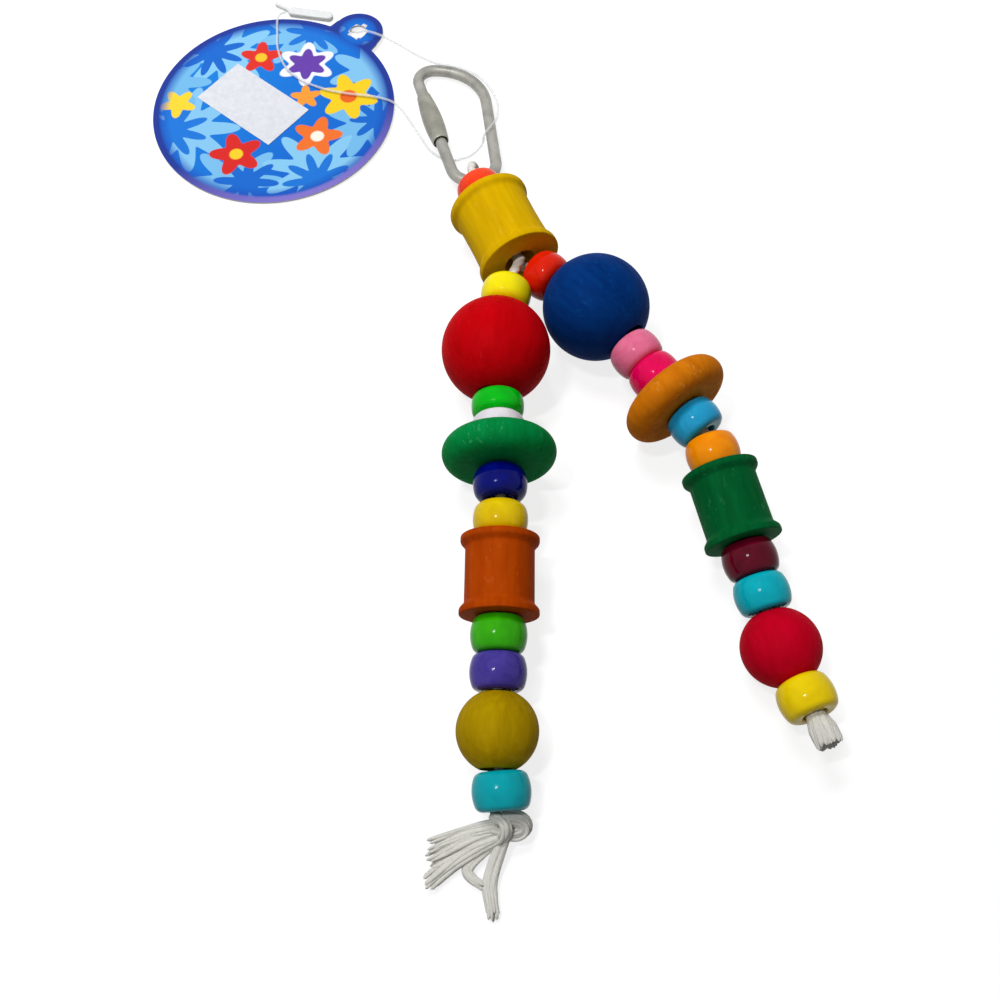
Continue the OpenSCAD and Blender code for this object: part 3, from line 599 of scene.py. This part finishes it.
# sizes in mm: the beads at a bend have rounder corners, so that they clear each other
BEAD_LENGTH, BEAD_CORNER, BEND_CORNER = 5.8, 1.25, 1.95
AT_A_BEND = ("dark_blue_bead", "yellow_bead", "lemon_bead", "vermilion_bead")
SHARE_OF_LENGTH = {"pink_bead": 0.92, "magenta_bead": 0.92, "sky_bead": 0.92, "green_bead": 0.71,
                   "white_bead": 0.71}
BIG_BALL, SMALL_BALL = dict(diameter=19, hole=5.2), dict(diameter=12.7, hole=5)
DISC = dict(diameter=19.2, thick=5.4, hole=5)
SPOOL = dict(diameter=12.8, barrel=11.2, length=13, flange=1.9, hole=5, waist=0, rim=1, ease=0.35)
TOP_SPOOL = dict(diameter=15.5, barrel=14.2, length=15, flange=2, hole=6, waist=0.15, rim=1.1, ease=0.45)
# the green bead is shorter and the white one longer than their nodes, so both sit a little up the leg
UP_THE_LEG = {"green_bead": 0.0006, "white_bead": 0.0006}


def strung_profile(name):
    """The turned profile of a strung piece, in metres."""
    if name.endswith("bead"):
        return bead_profile(BEAD_LENGTH * SHARE_OF_LENGTH.get(name, 1.0),
                            BEND_CORNER if name in AT_A_BEND else BEAD_CORNER)
    if name.endswith("ball"):
        return ball_profile(**BIG_BALL if name in ("red_ball", "blue_ball") else SMALL_BALL)
    if name.endswith("disc"):
        return disc_profile(**DISC)
    return spool_profile(**TOP_SPOOL if name == "top_spool" else SPOOL)


def make_strung():
    """Every turned piece on its spin joint's point and axis."""
    for k, (name, tones) in enumerate({**PLASTIC_TONES, **WOOD_TONES}.items()):
        axis = joint_axis(name + "_spin")
        centre = joint_point(name + "_spin") - axis * UP_THE_LEG.get(name, 0.0)
        wood = name in WOOD_TONES
        obj = turned(name + "_turned", strung_profile(name), centre, axis,
                     sides=128 if wood else 96, seed=k + 3)
        if wood:
            mat = dyed_wood(name + "_wood", *tones, pores=0.55 if name.endswith("disc") else 0.3)
        else:
            mat = pony_plastic(name + "_plastic", *tones)
        dress(obj, mat, name, name)


make_strung()

# Cotton cord

CORD_D, CORD_OVERRUN, END_PAST_BEAD = 0.0018, 0.0008, 0.0029
CORD = cotton("cotton_cord", (250, 248, 242), (226, 222, 210), 0.22)
LOOSE = cotton("loose_cotton", (245, 244, 237), (226, 224, 214), 0.05)

HEAD_MM = [
    (13.2, 21.9, 8.75), (10.5, 27.9, 8.75), (7.9, 33.8, 8.75), (6.2, 37.6, 8.75), (5.4, 39.4, 8.75),
    (4.8, 40.8, 8.75), (4.4, 42.4, 8.5), (4.4, 44.1, 7.6), (4.6, 45.5, 6), (4.9, 46.2, 4.3), (4.9, 46.2, 3),
    (5.1, 45.2, 1.7), (5.3, 44, 1.3), (5.5, 42.8, 1.7), (5.7, 41.9, 3), (5.7, 41.8, 4.6), (5.6, 41.5, 6),
    (5.2, 40.7, 6.7), (5.4, 39.4, 6.75), (6.2, 37.6, 6.75), (7.9, 33.8, 6.75), (10.5, 27.9, 6.75),
    (13.2, 21.9, 6.75)]


def make_cord(name, node, body, route):
    """A twisted cord along a route in metres, in place of its straight or plain node."""
    obj, _ = tube(name, route, CORD_D, sides=36, spacing=CORD_D / 10, steps=10,
                  plies=3, pitch=0.0052, depth=0.2)
    dress(obj, CORD, body, node)


def make_leg_cords(side, last):
    """The leg's cord, one twisted length to each stretch between its bends, up to its last bead."""
    neck, lift, ball, bend, small = (joint_point(side + s) for s in (
        "_neck_splay", "_lift", "_rock", "_flex", "_end_rock"))
    end = joint_point(last) + joint_axis(last) * END_PAST_BEAD
    for label, a, b in (("neck", neck, lift), ("upper", lift, ball), ("middle", ball, bend),
                        ("lower", bend, small), ("end", small, end)):
        over = unit(b - a) * CORD_OVERRUN
        a = a - over
        b = b if label == "end" else b + over
        node = side + ("_neck_cord" if label == "neck" else "_cord_" + label)
        make_cord(side + "_" + label + "_strand", node, side + "_" + label, [a, a * 0.6 + b * 0.4, b])


make_cord("head_strand", "head_cord", "head", np.array(HEAD_MM) * MM)
make_leg_cords("left", "teal_bead_spin")
make_leg_cords("right", "canary_bead_spin")

# Knots and frayed tail

GOLDEN_TURN = 2.399963


def spread(route, count, radius, flare, thick, seed, flat=1.0):
    """Strands that follow one route: each keeps its own place near the rim of the cord's section, which
    opens with the square of the way along by the flare, and wanders a little by slow sine waves. A
    thicker strand in the middle fills the bundle."""
    rng = np.random.default_rng(seed)
    fine, s = even_route(smooth_route(np.array(route) * MM, 8), 0.0003)
    _, u, v = carried_frames(fine)
    w = (s / s[-1])[:, None]
    inner = int(0.92 * len(fine))
    thin = 1 - 0.5 * (np.arange(inner) / inner) ** 3
    strands = [(fine[:inner], radius * (0.45 + 0.45 * flat) * thin)]
    for k in range(count):
        a, r = GOLDEN_TURN * k + rng.uniform(0, 0.5), radius * math.sqrt(rng.uniform(0.45, 1))
        grow = 1 + flare * w ** 2
        sway = 0.22 * MM * np.sin(w * rng.uniform(3, 9) + rng.uniform(0, 6)) * w
        strand = fine + u * (r * math.cos(a) * grow + sway) + v * (r * math.sin(a) * grow * flat + sway)
        strand[:, 2] = np.maximum(strand[:, 2], thick * 0.5)
        cut = len(fine) - int(rng.uniform(0, 0.14) * len(fine))
        radii = thick * rng.uniform(0.4, 0.64) * (1 - 0.35 * (np.arange(cut) / cut) ** 3)
        strands.append((strand[:cut], radii))
    return strands


LEFT_TURN = [
    (10, -77.35, 4.4), (10.9, -77.65, 4.2), (12.2, -77.75, 3.7), (13.2, -78.25, 3.1), (13.3, -79.05, 2.6),
    (12.4, -79.55, 2.4), (10.8, -79.55, 2.5), (9.4, -79.25, 2.8), (8.3, -78.95, 3.0)]
LEFT_WRAP = [(9, -77.4, 3.2), (9.5, -77.7, 4.4), (10.4, -78.5, 4.9), (10.7, -79.5, 4.4), (10.2, -80.4, 3.2),
             (9.3, -80.4, 2.0), (8.2, -80, 1.6)]
# route, strands, radius in mm, flare
TAILS = [
    ([(9.6, -78.8, 3.4), (7.2, -79.2, 2.8), (4.6, -79.8, 1.9), (1.7, -80.6, 1.3), (-1.1, -81.6, 1.0)],
     14, 1.0, 0.35),
    ([(9.5, -79.5, 3.0), (6.9, -80.3, 2.4), (4.2, -81.3, 1.7), (1.2, -82.6, 1.2), (-1.0, -83.6, 0.9)],
     15, 1.1, 0.3),
    ([(9.4, -80.1, 2.6), (6.8, -81.3, 2.0), (4.2, -82.8, 1.4), (1.2, -84.9, 1.1), (-1.5, -87.0, 0.9)],
     15, 1.1, 0.1),
    ([(8.8, -80.9, 2.0), (6.6, -82.6, 1.4), (5.2, -84.0, 1.1), (5.0, -85.2, 0.9), (6.2, -86.4, 0.9),
      (8.0, -87.3, 0.9)], 12, 0.62, 0.1),
    ([(10.4, -80.2, 2.8), (9.7, -82.0, 2.2), (8.9, -84.2, 1.4), (8.3, -86.6, 1.1), (8.4, -88.8, 1.0),
      (8.7, -90.8, 0.9), (8.7, -92.0, 0.8)], 14, 0.74, 0.05)]


def make_left_knot():
    """The cord's turned-back loop, the wrap over it, and the splayed plies of its cut end."""
    knot = (spread(LEFT_TURN, count=22, radius=1.02 * MM, flare=0.0, thick=0.66 * MM, seed=5)
            + spread(LEFT_WRAP, count=14, radius=0.7 * MM, flare=0.0, thick=0.66 * MM, seed=9))
    dress(bundle("left_knot_turns", knot, sides=8), LOOSE, "left_end", "left_knot")
    tail = []
    for k, (route, count, radius, flare) in enumerate(TAILS):
        tail += spread(route, count, radius * MM, flare, thick=0.72 * MM, seed=20 + k, flat=0.55)
    dress(bundle("left_frayed_plies", tail, sides=8), LOOSE, "left_end", "left_tail")


def make_right_knot():
    """The right leg's stub: plies that swell out of the bead's hole round a full core and end in one
    ragged cut."""
    core_length, core_r, length, ply_r, plies, in_bead = 5.2 * MM, 1.62 * MM, 5.75, 0.34 * MM, 44, 0.0022
    way = joint_axis("canary_bead_spin")
    start = joint_point("canary_bead_spin") + way * in_bead
    u, v = across(way)
    rng = np.random.default_rng(31)
    h = np.linspace(0, 1, 22)
    swell = 0.74 + 0.42 * np.clip((h - 0.12) * 2.4, 0, 1) - 0.1 * np.clip(h - 0.75, 0, 1)
    strands = [(start + way * (h * core_length)[:, None], core_r * swell)]
    for k in range(plies):
        a, r = GOLDEN_TURN * k, rng.uniform(1.3, 1.66) * MM
        cut = (length + rng.uniform(-0.4, 0.15)) * MM
        lean = a + 0.3 * h + 0.12 * np.sin(h * rng.uniform(2, 5) + k)
        aside = u * (r * swell * np.cos(lean))[:, None] + v * (r * swell * np.sin(lean))[:, None]
        strand = start + way * (h * cut)[:, None] + aside
        strand[:, 2] = np.maximum(strand[:, 2], 0.0004)
        strands.append((strand, np.full(len(h), ply_r)))
    dress(bundle("right_cord_stub", strands, sides=12), LOOSE, "right_end", "right_knot")


make_left_knot()
make_right_knot()

# Wire link and sleeve

WIRE_R = 0.00115
LINK_FOOT = np.array([5.3, 44.0, 3.5])
(YAW_COS, YAW_SIN), (DIP_COS, DIP_SIN) = (heading(math.radians(a)) for a in (10, -4))
LINK_TURN = np.array([[YAW_COS, -YAW_SIN, 0], [YAW_SIN, YAW_COS, 0], [0, 0, 1]]) @ \
    np.array([[1, 0, 0], [0, DIP_COS, -DIP_SIN], [0, DIP_SIN, DIP_COS]])
# bends of the wire's line, as centre and radius in mm: foot, shoulder, and the corner inside the shoulder
FOOT_BEND = np.array([0, 4.5]), 4.5
SHOULDER, SHOULDER_END = (np.array([-5.5, 22.2]), 11.0), math.radians(81)
CORNER_R = 3.2
# along the straight side: where the wire stops below its gap and starts above it, and the sleeve's foot
GAP_FROM, GAP_TO, SLEEVE_FROM = 9.0, 11.8, 8.0
SLEEVE_LENGTH, SLEEVE_BELLY = 13.6, 0.42


def link_outline():
    """The wire's line in its own plane, in mm: three bends joined by the straights that touch them.
    A straight's outward normal stands at the angle of the line between two bend centres, plus or minus
    the arc cosine of the difference of their radii over their distance. Gives the line, and the foot
    and way of its straight side."""
    (end_c, end_r), (sh_c, sh_r) = FOOT_BEND, SHOULDER
    co_c = sh_c + (sh_r - CORNER_R) * heading(SHOULDER_END)

    def normal(centre, radius, side):
        """Angle of the outward normal of the straight from the foot's bend to another."""
        d = centre - end_c
        return math.atan2(d[1], d[0]) + side * math.acos((end_r - radius) / np.linalg.norm(d))

    def bend(centre, radius, a, b, steps):
        """Points of an arc."""
        t = np.linspace(a, b, steps)[:, None]
        return centre + radius * np.hstack([np.cos(t), np.sin(t)])

    left, right = normal(co_c, CORNER_R, 1), normal(sh_c, sh_r, -1)
    low, high = end_c + end_r * heading(left), co_c + CORNER_R * heading(left)
    way = unit(high - low)
    outline = np.vstack([[low + way * GAP_TO], line(low + way * (GAP_TO + 0.7), high, 12),
                         bend(co_c, CORNER_R, left, SHOULDER_END, 22),
                         bend(sh_c, sh_r, SHOULDER_END, right, 26)[1:],
                         bend(end_c, end_r, right + 2 * math.pi, left, 44),
                         line(low, low + way * GAP_FROM, 10)[1:], [low + way * GAP_FROM]])
    return outline, low, way


def to_table(points):
    """Points of the link's plane, in mm, as points of the table's frame in metres."""
    p = np.atleast_2d(points)
    return (LINK_FOOT + np.hstack([p, np.zeros((len(p), 1))]) @ LINK_TURN.T) * MM


def sleeve_profile():
    """The barrel sleeve: two quarter sine waves meet at the belly, small steps end it, and its bore is
    stepped."""
    z = np.linspace(0, 1, 49)
    rising, falling = z / SLEEVE_BELLY, (z - SLEEVE_BELLY) / (1 - SLEEVE_BELLY)
    r = np.where(z < SLEEVE_BELLY, 1.65 + 0.4 * np.sin(math.pi / 2 * np.clip(rising, 0, 1)),
                 1.45 + 0.6 * np.cos(math.pi / 2 * np.clip(falling, 0, 1)))
    side = np.stack([r, z * SLEEVE_LENGTH], -1)[1:-1]
    mouth = [(1.43, SLEEVE_LENGTH - 0.08), (1.32, SLEEVE_LENGTH)]
    bore = [(1.2, SLEEVE_LENGTH), (1.2, 8.0), (1.2, 3.4), (1.45, 3.4), (1.45, 1.5), (1.45, 0.05)]
    return np.vstack([[(1.52, 0.0), (1.62, 0.06)], side, mouth, bore]) * MM


def make_link():
    """The wire as a round section swept along the outline, and the sleeve turned about its side."""
    outline, low, way = link_outline()
    points, faces, uv = tube_arrays(*even_route(to_table(outline), 0.00035), WIRE_R, 28)
    dress(build_mesh("bent_wire", points, faces, uv=uv),
          nickel("nickel_wire", (176, 175, 168), (152, 151, 144)), "link", "link_wire")
    sleeve = turned("barrel_sleeve", sleeve_profile(), to_table(low + way * SLEEVE_FROM)[0],
                    joint_axis("sleeve_slide"), sides=72, seed=77)
    dress(sleeve, nickel("nickel_sleeve", (168, 167, 155), (146, 145, 134)),
          "sleeve", "link_sleeve")


make_link()

# Hang tag and its blank sticker

CARD_R, CARD_T, EAR_R, EAR_REACH, HOLE_R = 25.0, 0.4, 5.4, 26.7, 1.8
TAG_FOOT, TAG_TURN, TAG_RISE = np.array([-37.128, 66.174, 0]), math.radians(52.3), math.radians(0.9)
TAG_ALONG = np.append(heading(TAG_TURN), 0)
TAG_X = TAG_ALONG * math.cos(TAG_RISE) + np.array([0, 0, math.sin(TAG_RISE)])
TAG_Y = np.array([-math.sin(TAG_TURN), math.cos(TAG_TURN), 0])
TAG_N = np.cross(TAG_X, TAG_Y)
TAG_C = TAG_FOOT + CARD_R * (TAG_X - TAG_ALONG)


def card_mesh(name, points, faces):
    """A mesh from points in mm in the card's own plane; its grain attribute is that place, where the
    edge of the round is 1."""
    p = np.asarray(points, float)
    placed = TAG_C + p[:, :1] * TAG_X + p[:, 1:2] * TAG_Y + p[:, 2:] * TAG_N
    return build_mesh(name, placed * MM, faces, grain=p / CARD_R, smooth=False)


def tag_edge(angle):
    """Distance from the tag's middle to its edge: the circle, and round angle 0 the ear's far side,
    reach cos a + sqrt(ear^2 - (reach sin a)^2), which eases back to the circle over two degrees."""
    limit = math.asin(EAR_R / EAR_REACH) - 0.004
    a = np.abs((angle + math.pi) % (2 * math.pi) - math.pi)
    held = np.minimum(a, limit)
    far = EAR_REACH * np.cos(held) + np.sqrt(EAR_R ** 2 - (EAR_REACH * np.sin(held)) ** 2)
    ease = np.clip((a - limit) / math.radians(2.2), 0, 1)
    return far + (CARD_R - far) * ease * ease * (3 - 2 * ease)


def make_tag():
    """The card in one piece: from the middle out over the printed face, round the rim and back under,
    as a grid of angle and share of the way to the edge; the ear's hole is cut afterwards."""
    near, bevel, flat_share = 16, 0.07, 0.9975
    ear, rest = np.linspace(-near, near, 129), np.linspace(near, 360 - near, 300)[1:-1]
    angle = np.radians(np.concatenate([ear, rest]))
    out = np.linspace(0.0, 1.0, 36)[1:-1]
    share = np.concatenate([out, [flat_share, 1.0, 1.0, flat_share], out[::-1]])
    height = np.repeat([CARD_T, CARD_T - bevel, bevel, 0.0], [len(out) + 1, 1, 1, len(out) + 1])
    r = share * tag_edge(angle)[:, None]
    grid = np.stack([r * np.cos(angle)[:, None], r * np.sin(angle)[:, None],
                     np.broadcast_to(height, r.shape)], -1)
    rows, cols = r.shape
    first, middle = np.arange(rows) * cols, np.full(rows, rows * cols)
    last, ahead = first + cols - 1, np.roll(first, -1)
    faces = grid_faces(rows, cols, True, False).tolist()
    faces += np.stack([middle, first, ahead], -1).tolist()
    faces += np.stack([middle + 1, ahead + cols - 1, last], -1).tolist()
    card = card_mesh("tag_card", np.vstack([grid.reshape(-1, 3), [[0, 0, CARD_T], [0, 0, 0]]]), faces)
    sides = 96
    a = np.linspace(0, 2 * math.pi, sides, endpoint=False)
    x, y = EAR_REACH + HOLE_R * np.cos(a), HOLE_R * np.sin(a)
    tool = np.vstack([np.column_stack([x, y, np.full(sides, z)]) for z in (-1.0, CARD_T + 1)])
    ends = [list(range(sides)), list(range(sides, 2 * sides))]
    cutter = card_mesh("hole_cutter", tool, grid_faces(2, sides, False, True).tolist() + ends)
    weld(card, 1e-7)
    weld(cutter, 1e-7)
    cut = card.modifiers.new("ear_hole", "BOOLEAN")
    cut.operation, cut.object, cut.solver = "DIFFERENCE", cutter, "EXACT"
    bpy.context.view_layer.update()
    shaped = bpy.data.meshes.new_from_object(card.evaluated_get(bpy.context.evaluated_depsgraph_get()))
    card.modifiers.clear()
    card.data = shaped
    bpy.data.objects.remove(cutter)
    card.data.materials.clear()
    dress(card, card_print(), "tag", "hang_tag")


def make_rosette():
    """A flower or burst: 1 inside the edge size (1 + depth cos(points (angle + turn))) round its place,
    0 outside, over a softness of sharp."""
    tree, given, out = new_group(
        "rosette", ("Place", "X", "Y", "Size", "Points", "Depth", "Turn", "Sharp"), ("Mask",))
    parts = put(tree, "SeparateXYZ", {0: given["Place"]}).outputs
    dx, dy = maths(tree, "SUBTRACT", parts[0], given["X"]), maths(tree, "SUBTRACT", parts[1], given["Y"])
    away = maths(tree, "SQRT", maths(tree, "MULTIPLY_ADD", dx, dx, maths(tree, "MULTIPLY", dy, dy)))
    turn = maths(tree, "ADD", maths(tree, "ARCTAN2", dy, dx), given["Turn"])
    wave = maths(tree, "COSINE", maths(tree, "MULTIPLY", turn, given["Points"]))
    edge = maths(tree, "MULTIPLY", given["Size"], maths(tree, "MULTIPLY_ADD", wave, given["Depth"], 1.0))
    inside = maths(tree, "DIVIDE", maths(tree, "SUBTRACT", edge, away), given["Sharp"])
    fill(tree, out, {"Mask": maths(tree, "ADD", inside, 0.5, clamp=True)})
    return tree


# place on the card, size, points, depth of the petals, turn, colour
CARD_PRINT = [
    (-0.62, 0.42, 0.34, 9, 0.34, 0.2, (128, 190, 230)), (-0.78, -0.28, 0.3, 8, 0.36, 0.9, (116, 182, 226)),
    (-0.28, -0.72, 0.33, 9, 0.34, 0.0, (130, 194, 232)), (0.34, -0.74, 0.28, 8, 0.36, 0.5, (112, 180, 226)),
    (0.78, -0.38, 0.26, 7, 0.34, 0.1, (124, 188, 230)), (0.74, 0.36, 0.28, 8, 0.36, 0.7, (118, 184, 228)),
    (0.2, 0.74, 0.32, 9, 0.34, 0.3, (130, 194, 232)), (-0.32, 0.86, 0.24, 7, 0.36, 0.0, (110, 178, 224)),
    (-0.7, 0.5, 0.22, 9, 0.4, 0.5, (20, 112, 206)), (-0.72, -0.36, 0.19, 8, 0.4, 0.2, (10, 98, 196)),
    (-0.36, -0.8, 0.2, 9, 0.4, 0.4, (20, 112, 206)), (0.42, -0.78, 0.17, 8, 0.4, 0.1, (10, 98, 196)),
    (0.82, 0.3, 0.17, 8, 0.4, 0.3, (20, 112, 206)), (0.14, 0.84, 0.2, 9, 0.4, 0.6, (10, 98, 196)),
    (-0.56, -0.1, 0.17, 5, 0.3, 0.3, (206, 34, 30)), (-0.56, -0.1, 0.055, 5, 0.0, 0.0, (240, 200, 40)),
    (0.46, -0.42, 0.2, 6, 0.26, 0.1, (236, 200, 30)), (0.46, -0.42, 0.07, 5, 0.0, 0.0, (226, 96, 30)),
    (-0.02, -0.5, 0.16, 5, 0.3, 0.8, (232, 110, 40)), (-0.02, -0.5, 0.055, 5, 0.0, 0.0, (244, 236, 220)),
    (0.52, 0.1, 0.2, 6, 0.24, 0.4, (236, 236, 246)), (0.52, 0.1, 0.14, 6, 0.24, 0.4, (96, 56, 160)),
    (0.34, 0.46, 0.14, 5, 0.3, 0.6, (214, 44, 34)), (0.34, 0.46, 0.05, 5, 0.0, 0.0, (244, 190, 40)),
    (-0.46, 0.66, 0.12, 5, 0.3, 0.0, (240, 206, 50)), (0.24, -0.14, 0.1, 5, 0.3, 0.5, (240, 150, 50))]


def card_print():
    """A plain summer print: pale and blue bursts and small flowers on a mid-blue field, and a dark rim
    that turns lilac below. The card's own map gives the place: the edge of the round is 1."""
    rosette = make_rosette()
    mat, tree, shader = new_material("printed_card")
    place = grain_place(tree)
    x, y, z = put(tree, "SeparateXYZ", {0: place}).outputs

    def inside(radius, from_x):
        """How far a place lies within a round whose middle is at x."""
        dx = maths(tree, "SUBTRACT", x, from_x)
        d = maths(tree, "MULTIPLY_ADD", dx, dx, maths(tree, "MULTIPLY", y, y))
        return maths(tree, "SUBTRACT", radius, maths(tree, "SQRT", d))

    inset = maths(tree, "MAXIMUM", inside(1.0, 0.0), inside(EAR_R / CARD_R, EAR_REACH / CARD_R))
    printed = mixed(tree, span(tree, y, -0.9, 0.9), linear(0, 92, 196), linear(10, 124, 212))
    for px, py, size, points, depth, turn, colour in CARD_PRINT:
        spot = put(tree, "Group", {"Place": place, "X": px, "Y": py, "Size": size, "Points": points,
                                   "Depth": depth, "Turn": turn, "Sharp": 0.012}, node_tree=rosette)
        printed = mixed(tree, spot.outputs["Mask"], printed, linear(*colour))
    below = maths(tree, "MULTIPLY_ADD", x, -0.5, maths(tree, "MULTIPLY", y, -0.9))
    rim = mixed(tree, span(tree, below, 0.3, 1.0), linear(18, 48, 140), linear(124, 112, 196))
    printed = mixed(tree, span(tree, inset, 0.14, 0.07, 0.0, 0.75), printed, linear(10, 74, 176))
    printed = mixed(tree, span(tree, inset, 0.07, 0.045), printed, rim)
    fibre = noise(tree, place, 60.0, 4.0)
    up = span(tree, z, 0.0135, 0.0155)
    fill(tree, shader, {"Base Color": mixed(tree, up, linear(212, 210, 216), printed),
                        "Roughness": span(tree, fibre, 0.3, 0.7, 0.4, 0.52), "Specular IOR Level": 0.3,
                        "Normal": bump(tree, fibre, 0.04, 0.0001)})
    return mat


def label_paper():
    """Slightly mottled white paper."""
    mat, tree, shader = new_material("label_paper")
    paper = noise(tree, grain_place(tree), 26.0, 5.0)
    tone = mixed(tree, span(tree, paper, 0.3, 0.7), linear(206, 209, 216), linear(220, 222, 228))
    fill(tree, shader, {"Base Color": tone, "Roughness": span(tree, paper, 0.3, 0.7, 0.45, 0.62),
                        "Normal": bump(tree, paper, 0.1, 0.0001)})
    return mat


def make_sticker():
    """The blank label: a thin flat sheet on the card, its two faces grids and its rim one row of quads."""
    rows, cols = 40, 26
    half_length, half_width, foot, face = 10.3, 6.0, CARD_T + 0.005, CARD_T + 0.12
    x, y = np.meshgrid(np.linspace(-half_length, half_length, rows),
                       np.linspace(-half_width, half_width, cols), indexing="ij")
    x, y = turned_flat(x, y, math.radians(-39) - TAG_TURN)
    mx, my = turned_flat(-4.45, 0.8, -TAG_TURN)
    points = np.vstack([np.stack([mx + x, my + y, np.full_like(x, z)], -1).reshape(-1, 3)
                        for z in (face, foot)])
    index = np.arange(rows * cols).reshape(rows, cols)
    rim = np.concatenate([index[:-1, 0], index[-1, :-1], index[:0:-1, -1], index[0, :0:-1]])
    ahead, under = np.roll(rim, -1), rows * cols
    faces = np.vstack([grid_faces(rows, cols), grid_faces(rows, cols, start=under)[:, ::-1],
                       np.stack([rim, ahead, ahead + under, rim + under], -1)])
    obj = card_mesh("blank_sticker", points, faces)
    weld(obj, 0.000001)
    dress(obj, label_paper(), "tag", "price_sticker")


make_tag()
make_sticker()

# Table and light


def shown_white(tree, plain, white, output):
    """Puts a shader out as it is, and another one to the camera, to reflections and through clear
    pieces."""
    ray = put(tree, "LightPath", {}).outputs
    seen = maths(tree, "MAXIMUM", ray["Is Camera Ray"],
                 maths(tree, "MAXIMUM", ray["Is Glossy Ray"], ray["Is Transmission Ray"]))
    pick = put(tree, "MixShader", {0: seen, 1: plain.outputs[0], 2: white.outputs[0]})
    put(tree, output, {0: pick.outputs[0]})


def make_table():
    """A pale table top that keeps a soft shadow."""
    steps, half, drop = 40, 1.5, 0.00002
    g = np.linspace(-half, half, steps)
    x, y = np.meshgrid(g, g, indexing="ij")
    points = np.stack([x, y, np.full_like(x, -drop)], -1).reshape(-1, 3)
    obj = build_mesh("table_top", points, grid_faces(steps, steps), smooth=False)
    mat = bpy.data.materials.new("pale_table")
    mat.use_nodes = True
    tree = mat.node_tree
    tree.nodes.clear()
    paint = put(tree, "BsdfDiffuse", {"Color": (0.3, 0.3, 0.3, 1)})
    glow = put(tree, "Emission", {"Color": (1, 1, 1, 1), "Strength": 0.8})
    white = put(tree, "AddShader", {0: paint.outputs[0], 1: glow.outputs[0]})
    shown_white(tree, paint, white, "OutputMaterial")
    obj.data.materials.append(mat)


def add_area(name, place, size, watts):
    """An oblong area lamp that looks at the middle of the table."""
    data = bpy.data.lights.new(name, "AREA")
    data.shape, data.energy = "RECTANGLE", watts
    data.size, data.size_y = size
    lamp = bpy.data.objects.new(name, data)
    lamp.location = place
    way = -unit(place)
    lamp.rotation_euler = (math.acos(-way[2]), 0, math.atan2(way[0], -way[1]))
    bpy.context.scene.collection.objects.link(lamp)
    return lamp


def light_scene():
    """One broad lamp high behind the left, a narrow one near it for the beads' sparks, and weak fill
    around."""
    broad = add_area("broad_lamp", (-0.12, 0.22, 0.52), (0.22, 0.22), 3.0)
    broad.visible_glossy = False
    add_area("spark_lamp", (-0.19, -0.05, 0.58), (0.03, 0.11), 1.5)
    world = bpy.data.worlds.new("studio")
    world.use_nodes = True
    tree = world.node_tree
    tree.nodes.clear()
    weak, white = (put(tree, "Background", {"Color": (1, 1, 1, 1), "Strength": s}) for s in (0.17, 1.0))
    shown_white(tree, weak, white, "OutputWorld")
    bpy.context.scene.world = world
    bpy.context.scene.view_settings.view_transform = "Standard"


make_table()
light_scene()
